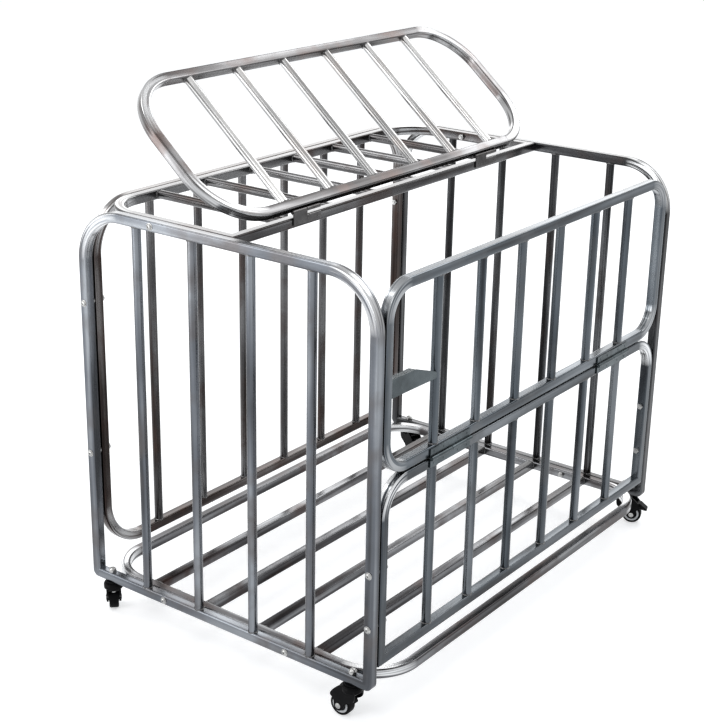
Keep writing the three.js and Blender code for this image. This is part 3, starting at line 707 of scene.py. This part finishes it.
# %% Front and back panels, and the door
def upright_panel(name, node, body, radii, steel, bar_steel=None):
    """A closed frame that stands lengthwise, with upright bars."""
    low, high = low_high(node)
    y = MIDDLE[1] + (PANEL_OUT if low[1] > 0 else -PANEL_OUT)
    ring = tube_ring((low[0], high[0], low[2], high[2]), radii, X, Z, (0, y, 0))
    bars, welds = bars_and_welds(
        places(LONG_BARS, BAR_PITCH), (low[2] + TUBE, high[2] - TUBE), X, Z, (MIDDLE[0], y, 0))
    panel(name, node, body, [ring], bars, welds, steel, bar_steel)


upright_panel("lower_front", "lower_front_panel", "cage", (0, LOWER_BEND), FRONT_STEEL)
upright_panel("back", "back_panel", "cage", (BACK_BEND, BACK_BEND), BACK_FRAME_STEEL, BACK_STEEL)
upright_panel("door", "front_door", "door", (DOOR_BEND, DOOR_BEND), DOOR_STEEL)

# %% [markdown]
# ## Base, grille and lid
#
# The base is a bent ring with four square runners between its ends. The grille is the half of the
# top that stays shut. The lid is made lying flat from its hinge, and is then leaned back as one array
# of points, which is how a mesh is turned here without turning its object.

# %% Base frame
RUNNER_WELD = HALF_TUBE - 0.6 * MM


def level_ring(node, radii):
    """A bent frame that lies level: the ring, its box's two corners and its height."""
    low, high = low_high(node)
    z = (low[2] + high[2]) / 2
    return tube_ring((low[0], high[0], low[1], high[1]), radii, X, Y, (0, 0, z)), low, high, z


base_ring, base_low, base_high, base_z = level_ring("base_frame", (RING_BEND, RING_BEND))
left_rail, right_rail = base_low[0] + TUBE, base_high[0] - TUBE
runners, runner_welds = [], []
for number, offset in enumerate(places(END_BARS, END_BAR_PITCH)):
    y = MIDDLE[1] + offset
    runners.append(straight_tube((left_rail - INTO_RAIL, y, base_z), (right_rail + INTO_RAIL, y, base_z), Z))
    for x, way in ((left_rail, X), (right_rail, -X)):
        runner_welds.append(weld_ring((x, y, base_z), way, Z, RUNNER_WELD, True, seed=number + x))
panel("base", "base_frame", "cage", [base_ring], runners, runner_welds, BASE_STEEL)

# %% Top grille
grille_ring, grille_low, grille_high, grille_z = level_ring("top_grille", (0, RING_BEND))
grille_bars, grille_welds = bars_and_welds(
    places(LONG_BARS, BAR_PITCH), (grille_low[1] + TUBE, grille_high[1] - TUBE), X, Y,
    (MIDDLE[0], 0, grille_z))
panel("grille", "top_grille", "cage", [grille_ring], grille_bars, grille_welds, BACK_STEEL)

# %% Lid
LID_NEAR = 5.3 * MM
HALF_MM = 0.5 * MM
LEAN = np.array([
    [1, 0, 0],
    [0, math.cos(LID_LEAN), -math.sin(LID_LEAN)],
    [0, math.sin(LID_LEAN), math.cos(LID_LEAN)],
])
pin_low, pin_high = low_high("lid_hinge_left_pin")
LID_AXIS = np.array([MIDDLE[0], *((pin_low + pin_high) / 2)[1:]])

# The lid starts LID_NEAR from the hinge line. Its depth comes from its leaned box, to the nearest
# half millimetre.
lid_low, lid_high = low_high("lid")
leaned_depth = (lid_high[1] - lid_low[1]) - TUBE * math.sin(LID_LEAN)
lid_depth = HALF_MM * round(leaned_depth / math.cos(LID_LEAN) / HALF_MM)
print("lid depth:", round(lid_depth / MM, 1), "mm")


def leaned(parts):
    """Turns level points about the hinge line by the lid's lean, and sets them on the hinge."""
    return moved(parts, LID_AXIS, LEAN)


lid_half = (lid_high[0] - lid_low[0]) / 2
lid_far = LID_NEAR + lid_depth
lid_ring = tube_ring((-lid_half, lid_half, LID_NEAR, lid_far), (LID_BEND, LID_BEND), X, Y, ORIGIN)
lid_bars, lid_welds = bars_and_welds(
    places(LONG_BARS, BAR_PITCH), (LID_NEAR + TUBE, lid_far - TUBE), X, Y, ORIGIN)
panel("lid", "lid", "lid", leaned([lid_ring]), leaned(lid_bars), leaned(lid_welds), LID_STEEL, LIT_LID_BAR_STEEL)

# %% [markdown]
# ## Bolts
#
# A bolt holds each joint: a domed head with a socket on a thin washer outside, a spacer in the gap
# between post and panel, and a chamfered nut inside. The head's dome is a quarter of an ellipse, and
# the socket is a short round well in its middle. The short bolts have no spacer.

# %% Bolts, in mm from the face that they stand on
DOME = np.linspace(0, np.pi / 2, 9)
HEAD = np.concatenate([
    [[0, 0.2], [8.0, 0.2], [8.0, 1.0], [6.9, 1.1], [6.7, 1.3]],
    np.stack([2.6 + 4.0 * np.cos(DOME), 1.4 + 3.3 * np.sin(DOME)], -1),
    [[2.4, 4.5], [2.3, 2.8], [0, 2.6]],
])
NUT = [[7.5, 0, 0], [7.5, 6.9, 0], [7.5, 7.5, 0.7], [7.5, 7.5, 5.8], [7.5, 6.9, 6.5], [7.5, 0, 6.5]]
BOLT_SHANK = [[0, 0], [3.6, 0], [4, 0.5], [4, 40], [0, 40]]
SPACER = [[4, -27], [7.3, -27], [7.3, -22], [4, -22]]
END_TO_NUT = 8.5 * MM
LONG_BOLT = 60 * MM


def bolt(node):
    """Head, shank, nut and a spacer, along X from the outer face to the inside."""
    low, high = low_high(node)
    side = 1 if low[0] > 0 else -1
    way = side * X
    line = (low + high) / 2 * (Y + Z)
    face = line + (MIDDLE[0] + side * HALF_CAGE) * X
    end = low[0] if side > 0 else high[0]
    parts = [
        turned(HEAD, face, way),
        hexagon_turned(NUT, line + (end + side * END_TO_NUT) * X, -way),
        turned(BOLT_SHANK, line + end * X, way, 24),
    ]
    if high[0] - low[0] > LONG_BOLT:
        parts.append(turned(SPACER, face, way, 32))
    name = node.replace("bolt_", "", 1)
    piece(f"{name}_bolt", parts, PLATED_STEEL, "cage", [node])


for node in sorted(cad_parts):
    if node.startswith("bolt_"):
        bolt(node)
print("bolts:", sum(name.endswith("_bolt") for name in made))

# %% [markdown]
# ## Hinges
#
# Each hinge is two folded leaves and a pin. A leaf is a plate whose edge is rolled into a knuckle
# over half the hinge's length, so a thin dark line shows where the two knuckles meet. Small round
# rivets hold every leaf but the lid's own.

# %% One leaf, in mm from the pin
KNUCKLE_IN, KNUCKLE_OUT, RIM = 2.8, 4.7, 0.5
SKIN = (1.9, 4.7)
RIVET = [[0, -0.3], [2.6, -0.3], [2.5, 0.3], [1.6, 0.75], [0, 0.95]]
GAP = 0.5


def leaf(name, node, body, axis, knuckle, sheet, rivets, steel, with_lid=False):
    """A rolled knuckle, a plate with rounded edges and its rivets.

    `knuckle` is its start and end along X, and `sheet` is the plate's boxes, all measured from the
    pin in mm. A knuckle's wall is a ring: inner radius, outer radius and two rounded rims. A leaf on
    the lid leans with it, at its own place along the hinge line.
    """
    start, stop = knuckle
    length = stop - start
    rim = KNUCKLE_OUT - RIM
    wall = [[KNUCKLE_IN, 0], [rim, 0], [KNUCKLE_OUT, RIM], [KNUCKLE_OUT, length - RIM], [rim, length],
            [KNUCKLE_IN, length], [KNUCKLE_IN, 0]]
    parts = [turned(wall, start * MM * X, X, 36)]
    for along, (y0, y1), up_down in sheet:
        parts.append(plate(rectangle(*along, *up_down), -y1, -y0, X, Z))
    for place in rivets:
        parts.append(turned(RIVET, np.array(place) * MM, -Y, 24))
    parts = leaned(moved(parts, (axis - LID_AXIS) * X)) if with_lid else moved(parts, axis)
    piece(name, parts, steel, body, [node], bevel=0.4 * MM)


def pin(name, node, axis, steel):
    """A pin with a low domed head at each end, just outside the knuckles."""
    low, high = low_high(node)
    half = (high[0] - low[0]) / 2 / MM
    profile = [[0, -half], [2.0, -half], [2.9, -half + 0.5], [3.05, -half + 1.45], [2.5, -half + 1.5],
               [2.5, half - 1.5], [3.05, half - 1.45], [2.9, half - 0.5], [2.0, half], [0, half]]
    piece(name, [turned(profile, axis, X, 32)], steel, "cage", [node])


# %% Door hinges
DOOR_LEAF_HALF = 72.5
LEAF_NEAR, LEAF_FAR, NECK = 5.2, 20.3, 5.4
DOOR_RIVETS, DOOR_RIVET_OUT = (-60, -26, 26, 60), 13.2

for side in ("left", "right"):
    low, high = low_high(f"door_hinge_{side}_pin")
    axis = (low + high) / 2
    for way, place, node, body in ((-1, "below", "lower", "cage"), (1, "above", "upper", "door")):
        knuckle = sorted((way * GAP, way * DOOR_LEAF_HALF))
        sheet = [((-DOOR_LEAF_HALF, DOOR_LEAF_HALF), SKIN, sorted((way * LEAF_NEAR, way * LEAF_FAR))),
                 (knuckle, SKIN, sorted((0, way * NECK)))]
        rivets = [(x, SKIN[0], way * DOOR_RIVET_OUT) for x in DOOR_RIVETS]
        leaf(f"door_hinge_{side}_leaf_{place}", f"door_hinge_{side}_{node}_leaf", body, axis, knuckle,
             sheet, rivets, SHEET_STEEL)
    pin(f"door_hinge_{side}_rod", f"door_hinge_{side}_pin", axis, SHEET_STEEL)

# %% Lid hinges
LID_LEAF_HALF = 45
BACK_SKIN = (-4.7, -1.9)
LID_RIVETS, LID_RIVET_DOWN = (-34, 0, 34), -19.6
FIXED_LEAF = [((-LID_LEAF_HALF, LID_LEAF_HALF), BACK_SKIN, (-27.1, -12.1)),
              ((-LID_LEAF_HALF, -GAP), BACK_SKIN, (-12.3, 0))]
MOVING_LEAF = [((GAP, LID_LEAF_HALF), SKIN, (-9, 0))]

for side in ("left", "right"):
    low, high = low_high(f"lid_hinge_{side}_pin")
    axis = (low + high) / 2
    rivets = [(x, BACK_SKIN[0], LID_RIVET_DOWN) for x in LID_RIVETS]
    leaf(f"lid_hinge_{side}_leaf_on_grille", f"lid_hinge_{side}_fixed_leaf", "cage", axis,
         (-LID_LEAF_HALF, -GAP), FIXED_LEAF, rivets, SHADED_SHEET_STEEL)
    leaf(f"lid_hinge_{side}_leaf_on_lid", f"lid_hinge_{side}_moving_leaf", "lid", axis,
         (GAP, LID_LEAF_HALF), MOVING_LEAF, [], SHADED_SHEET_STEEL, with_lid=True)
    pin(f"lid_hinge_{side}_rod", f"lid_hinge_{side}_pin", axis, SHADED_SHEET_STEEL)

# %% [markdown]
# ## Door lock
#
# The lock is a plate of folded sheet between the door's upright and its first bar. Its top edge is
# folded back into a flange, and its free end narrows to a tongue. Behind it a square bolt slides
# through a guide block and the upright, into the corner post.

# %% Lock plate, guide and slide bolt, in mm
PLATE_OUT = 396
PLATE_HALF = 1.25
PLATE_LAP = 4
LOCK_HALF_HEIGHT = 19
BOLT_HALF = 5
SLOT_HALF = BOLT_HALF + 0.5
POST_LEFT_WHOLE = 2.5

door_low = low_high("front_door")[0]
bolt_low, bolt_high = low_high("door_lock_bolt")
lock_z = (bolt_low[2] + bolt_high[2]) / 2 / MM
plate_y = MIDDLE[1] / MM - PLATE_OUT
first_bar = MIDDLE[0] / MM - (LONG_BARS - 1) / 2 * BAR_PITCH / MM
upright_in = (door_low[0] + TUBE) / MM
lap = upright_in - PLATE_LAP
low_z, high_z = lock_z - LOCK_HALF_HEIGHT, lock_z + LOCK_HALF_HEIGHT
tongue = [
    [lap, low_z],
    [first_bar - 5, low_z - 2.5],
    [first_bar - 5, low_z + 7],
    [first_bar - 9, low_z + 12.5],
    [first_bar - 76, high_z - 1.5],
    [first_bar - 82, high_z],
    [lap, high_z],
]
flange = [
    [lap, plate_y + 1.0],
    [first_bar - 80, plate_y + 1.0],
    [first_bar - 84, plate_y + 14],
    [lap, plate_y + 14],
]
guide = rectangle(upright_in + 50, upright_in + 66, low_z + 2.5, high_z - 2)
lock_parts = [
    plate(tongue, -plate_y - PLATE_HALF, -plate_y + PLATE_HALF, X, Z),
    plate(flange, high_z - 2 * PLATE_HALF, high_z, X, Y),
    plate(guide, -plate_y - 17, -plate_y - 0.5, X, Z),
]
piece("lock_plate", lock_parts, SHEET_STEEL, "door", ["front_door"], bevel=0.7 * MM)

bolt_y = (MIDDLE[1] - PANEL_OUT) / MM
left_x, right_x = bolt_low[0] / MM, bolt_high[0] / MM
slide_outline = [
    [left_x, bolt_y - 3.2],
    [left_x + 2, bolt_y - BOLT_HALF],
    [right_x, bolt_y - BOLT_HALF],
    [right_x, bolt_y + 25],
    [right_x - 10, bolt_y + 25],
    [right_x - 10, bolt_y + BOLT_HALF],
    [left_x + 2, bolt_y + BOLT_HALF],
    [left_x, bolt_y + 3.2],
]
slide = [plate(slide_outline, lock_z - BOLT_HALF, lock_z + BOLT_HALF, X, Y)]
piece("lock_slide_bolt", slide, PLATED_STEEL, "lock", ["door_lock_bolt"], bevel=0.6 * MM)

# %% [markdown]
# The bolt needs a slot in the door's upright and one in the corner post. One box cuts both, and it
# stops short of the post's outer face.

# %% Slots for the slide bolt
slot_left = (MIDDLE[0] - HALF_CAGE) / MM + POST_LEFT_WHOLE
slot = rectangle(slot_left, upright_in + 1, bolt_y - SLOT_HALF, bolt_y + SLOT_HALF)
cutter_points, cutter_faces, _ = plate(slot, lock_z - SLOT_HALF, lock_z + SLOT_HALF, X, Y)
cutter_mesh = bpy.data.meshes.new("slot_cutter")
cutter_mesh.from_pydata(cutter_points.tolist(), [], cutter_faces)
cutter = in_scene("slot_cutter", cutter_mesh)
for name in ("door_tube", "left_end_tube"):
    tube = bpy.data.objects[name]
    cut = tube.modifiers.new("slot", "BOOLEAN")
    cut.operation, cut.solver, cut.object = "DIFFERENCE", "EXACT", cutter
    graph = bpy.context.evaluated_depsgraph_get()
    slotted = bpy.data.meshes.new_from_object(tube.evaluated_get(graph))
    tube.modifiers.clear()
    tube.data = slotted
    slotted.set_sharp_from_angle(angle=SHARP)
    print(name, "has its slot, faces:", len(slotted.polygons))
bpy.data.objects.remove(cutter)
bpy.data.meshes.remove(cutter_mesh)

# %% [markdown]
# ## Casters
#
# A caster is drawn once, with its wheel trailing along +X from the stem, and is then turned to the
# way that each one points in the photograph. The hood is two moulded cheeks, a block under the stem
# and a curved cover over the wheel. The wheel is a rubber tyre on a black core, with a grey ring let
# into each face. The hood and the pedal are drawn in wheel radii, and everything else in mm. Where the
# cover starts and stops is given in degrees.

# %% Caster shapes
WHEEL = 25
TRAIL = 24.0
HOOD = np.array([
    [-0.68, 3.148], [0.68, 3.148], [1.4, 2.56], [1.84, 2], [1.8, 1.72], [1.44, 1.56], [1.4, 0.72],
    [0.96, 0.5], [0.52, 0.72], [0.28, 1.4], [-0.48, 1.76], [-0.68, 2.08],
]) * WHEEL
PEDAL = np.array([
    [1.38, 2.06], [1.68, 1.88], [1.84, 1.66], [2, 1.64], [2.52, 1.56], [2.56, 1.72], [2.16, 2],
    [1.84, 2.3], [1.44, 2.3],
]) * WHEEL
BLOCK = [[-16.8, 57], [17, 56.5], [20, 70], [14, 78], [-14, 78], [-16.8, 74]]
CHEEK_IN, CHEEK_OUT, COVER_HALF, PEDAL_HALF = 12.6, 17, 12.8, 11.7
COVER_IN, COVER_OUT, COVER_FRONT = 27.5, 31.5, -16.5
COVER_START, BRAKED_COVER_START, COVER_STOP, COVER_STEPS = 38, 66, 165, 30
TYRE = [[19.4, -9.2], [19.6, -10.6], [20.4, -11], [22.6, -11], [23.9, -10.1], [24.7, -8.4], [25, -6], [25, 6],
        [24.7, 8.4], [23.9, 10.1], [22.6, 11], [20.4, 11], [19.6, 10.6], [19.4, 9.2], [19.4, -9.2]]
CORE = [[4.3, -12], [10.2, -12], [11.2, -11.4], [11.6, -10.2], [13.2, -8.6], [19.5, -8.4], [19.5, 8.4],
        [13.2, 8.6], [11.6, 10.2], [11.2, 11.4], [10.2, 12], [4.3, 12], [4.3, -12]]
RING = [[13.8, 8.2], [13.9, 9.6], [14.6, 10.3], [18.2, 10.3], [19.0, 9.8], [19.2, 8.2], [13.8, 8.2]]
AXLE_HEAD = [[0, 16.6], [6.4, 16.6], [6.4, 17.7], [5.4, 18.7], [3.2, 18.95], [2.9, 18.2], [0, 18.1]]
SPINDLE = [[0, -17], [4, -17], [4, 17], [0, 17]]
RIB, RIB_OUT = [[0, 0], [8.6, 0], [8.2, 0.5], [6.4, 0.7], [6.0, 0], [0, 0]], 16.9
PEDAL_ROD, ROD_PLACE = [[0, -17], [2.5, -17], [2.5, 17], [0, 17]], (40, 0, 53)
GRIP = [[0, -9.5], [0.9, -9.0], [0.9, 9.0], [0, 9.5]]
GRIP_PLACES = ((51, 0, 51.0), (54.5, 0, 49.0), (58, 0, 46.9))
FLANGE = [[5, 79], [16.4, 79], [17, 79.6], [17, 81.4], [16.4, 82], [5, 82], [5, 79]]
RACE = [[5.5, 76.2], [19.4, 76.2], [20.2, 77], [20.2, 77.9], [19.2, 78.7], [5.5, 78.7], [5.5, 76.2]]
BOSS = [[5.5, 64], [20.5, 64], [22, 65.5], [22, 74.6], [20.6, 76.4], [5.5, 76.4], [5.5, 64]]
STEM_SHANK = [[0, 53], [7.4, 53], [8, 53.6], [8, 55.4], [7.4, 56], [5, 56], [5, 104.2], [0, 104.2]]
CAP_HEIGHT, CAP_NUT_HEIGHT, CAP_DOME_HEIGHT, CAP_DOME_RADIUS = 11.5, 6.0, 5.4, 7.4
CAP_NUT = np.array([
    [9.5, 0, 0], [9.5, 8.9, 0], [9.5, 9.5, 0.7], [9.5, 9.5, 5.2], [9.5, 8.7, 6], [9.5, 7.6, 6.1],
])
DOME_UNDERSIDE = np.array([[0, 6.05], [7.5, 6.05]])
CASTERS = (
    ("front_left", 90, False),
    ("back_left", 47, False),
    ("front_right", -70, True),
    ("back_right", -110, True),
)


def hood_cover(braked):
    """The moulded roof over the wheel: an arc 2.5 mm off the tyre and 4 mm thick.

    It is cut off upright beyond the stem. With a pedal it starts higher, which leaves the pedal room.
    """
    start = math.radians(BRAKED_COVER_START if braked else COVER_START)
    arc = on_circle(np.linspace(start, math.radians(COVER_STOP), COVER_STEPS))
    inner = np.array([TRAIL, WHEEL]) + COVER_IN * arc
    outer = np.array([TRAIL, WHEEL]) + COVER_OUT * arc
    outer[:, 0] = np.maximum(outer[:, 0], COVER_FRONT)
    return np.concatenate([inner, outer[::-1]])


# %% The four casters
def caster(corner, yaw_degrees, braked):
    """The pieces of one caster, turned by its yaw about the stem."""
    low, high = low_high(f"caster_{corner}_stem")
    stem = np.array([(low[0] + high[0]) / 2, (low[1] + high[1]) / 2, 0])
    yaw = math.radians(yaw_degrees)
    turn = np.array([[math.cos(yaw), -math.sin(yaw), 0], [math.sin(yaw), math.cos(yaw), 0], [0, 0, 1]])
    hub = np.array([TRAIL, 0, WHEEL]) * MM
    swivel, wheel = f"swivel_{corner}", f"wheel_{corner}"

    def add(name, node, parts, material, body, bevel=0.0):
        """One piece of this caster, turned and set on its stem."""
        parts = moved(parts, stem, turn)
        piece(f"caster_{corner}_{name}", parts, material, body, [f"caster_{corner}_{node}"], bevel)

    cheeks = [plate(softened(HOOD), near, far, X, Z)
              for near, far in ((CHEEK_IN, CHEEK_OUT), (-CHEEK_OUT, -CHEEK_IN))]
    cover = plate(hood_cover(braked), -COVER_HALF, COVER_HALF, X, Z)
    block = plate(softened(BLOCK), -COVER_HALF, COVER_HALF, X, Z)
    boss = turned(BOSS, ORIGIN, Z)
    ribs = [turned(RIB, hub + way * RIB_OUT * MM * Y, way * Y, 36) for way in (1, -1)]
    hood = [*cheeks, cover, block, boss, *ribs]
    add("hood", "fork", hood, BLACK_PLASTIC, swivel, bevel=0.9 * MM)
    add("race", "fork", [turned(RACE, ORIGIN, Z)], BLACK_PLASTIC, swivel)
    heads = [turned(AXLE_HEAD, hub, way * Y, 36) for way in (1, -1)]
    spindle = turned(SPINDLE, hub, Y, 24)
    add("spindle", "axle", [*heads, spindle], PLATED_STEEL, swivel)

    add("tyre", "wheel", [turned(TYRE, hub, Y, 72)], WHEEL_RUBBER, wheel)
    add("core", "wheel", [turned(CORE, hub, Y, 64)], BLACK_PLASTIC, wheel)
    rings = [turned(RING, hub, way * Y, 64) for way in (1, -1)]
    add("face_rings", "wheel", rings, GREY_PLASTIC, wheel)

    if braked:
        lever = plate(softened(PEDAL), -PEDAL_HALF, PEDAL_HALF, X, Z)
        rod = turned(PEDAL_ROD, np.array(ROD_PLACE) * MM, Y, 24)
        grips = [turned(GRIP, np.array(place) * MM, Y, 12) for place in GRIP_PLACES]
        add("brake", "pedal", [lever, rod, *grips], BLACK_PLASTIC, f"brake_{corner}",
            bevel=0.8 * MM)

    foot = high[2] / MM - CAP_HEIGHT
    nut = hexagon_turned(CAP_NUT + foot * Z, ORIGIN, Z)
    arch = np.linspace(0, np.pi / 2, 10)
    dome_height = foot + CAP_NUT_HEIGHT + CAP_DOME_HEIGHT * np.sin(arch)
    dome = turned(np.stack([CAP_DOME_RADIUS * np.cos(arch), dome_height], -1), ORIGIN, Z)
    under = turned(DOME_UNDERSIDE + [0, foot], ORIGIN, Z)
    shank = turned(STEM_SHANK, ORIGIN, Z, 32)
    add("flange", "stem", [turned(FLANGE, ORIGIN, Z)], BLACK_PLASTIC, "cage")
    add("bolt_and_nut", "stem", [shank, nut, dome, under], PLATED_STEEL, "cage")


for corner, yaw, braked in CASTERS:
    caster(corner, yaw, braked)
print("pieces:", len(made), "faces:", sum(made.values()))

# %% [markdown]
# ## Floor, light and background
#
# Polished metal has no colour of its own to speak of: it shows what stands around it. The room is a
# pale floor and a pale, even world, both of them white where a ray sees them directly. Five soft
# panels light the cart, which the camera doesn't see: two behind it, one over its front right, one
# low at its back left, and a small one over its left end.

# %% Floor
FLOOR_LIFT = 0.47
FLOOR_REACH = 12.0
WHITE = (1, 1, 1, 1)


def looked_at(tree):
    """1 for a camera, glossy or transmission ray, and 0 for any other."""
    rays = tree.nodes.new("ShaderNodeLightPath").outputs
    seen = maths(tree, "MAXIMUM", rays["Is Camera Ray"], rays["Is Glossy Ray"])
    return maths(tree, "MAXIMUM", seen, rays["Is Transmission Ray"])


def floor_material():
    """A pale floor that keeps the shadow, and is lifted to white where a ray sees it directly."""
    material, tree, shader = new_finish("pale_floor")
    fill(tree, shader, {
        "Base Color": (0.80, 0.80, 0.80, 1),
        "Roughness": 0.9,
        "Emission Color": WHITE,
        "Emission Strength": maths(tree, "MULTIPLY", looked_at(tree), FLOOR_LIFT),
    })
    return material


floor_mesh = bpy.data.meshes.new("floor")
floor_corners = [(x, y, 0) for x, y in rectangle(-FLOOR_REACH, FLOOR_REACH, -FLOOR_REACH, FLOOR_REACH)]
floor_mesh.from_pydata(floor_corners, [], [(0, 1, 2, 3)])
floor = in_scene("floor", floor_mesh)
floor_mesh.materials.append(floor_material())

# %% World and lamps
WORLD_TONE, WORLD_STRENGTH = (0.93, 0.96, 1.0, 1), 0.68

world = bpy.data.worlds.new("room")
bpy.context.scene.world = world
world.use_nodes = True
tree = world.node_tree
room = fill(tree, tree.nodes["Background"], {"Color": WORLD_TONE, "Strength": WORLD_STRENGTH})
white = fill(tree, tree.nodes.new("ShaderNodeBackground"), {"Color": WHITE, "Strength": 1.0})
choice = tree.nodes.new("ShaderNodeMixShader")
fill(tree, choice, {"Fac": looked_at(tree), 1: room.outputs[0], 2: white.outputs[0]})
tree.links.new(choice.outputs[0], tree.nodes["World Output"].inputs["Surface"])


def soft_panel(name, place, aim, size, watts):
    """A rectangular lamp at a place, turned so that its face looks at the aim."""
    data = bpy.data.lights.new(name, "AREA")
    data.shape = "RECTANGLE"
    data.size, data.size_y = size
    data.energy = watts
    lamp = in_scene(name, data)
    back_way = np.asarray(place, float) - np.asarray(aim, float)
    back_way /= np.linalg.norm(back_way)
    side_way = np.cross(Z, back_way)
    side_way /= np.linalg.norm(side_way)
    lamp.matrix_world = placed(side_way, np.cross(back_way, side_way), back_way, place)
    lamp.visible_camera = False


soft_panel("panel_behind_right", (3.3, 2.5, 2.1), (0, 0, 0.6), (3.6, 2.0), 40)
soft_panel("panel_behind_left", (-1.35, 2.3, 3.5), (0, 0, 0.6), (1.6, 1.2), 26)
soft_panel("panel_over_front_right", (2.7, -0.8, 3.3), (0, 0, 0.8), (2.2, 1.6), 34)
soft_panel("panel_low_left", (-3.6, 1.9, 1.0), (0, 0, 0.5), (2.4, 1.9), 56)
soft_panel("panel_over_left", (-2.4, -0.7, 3.1), (0, 0.1, 1.1), (0.9, 0.9), 9)

bpy.context.scene.view_settings.view_transform = "Standard"
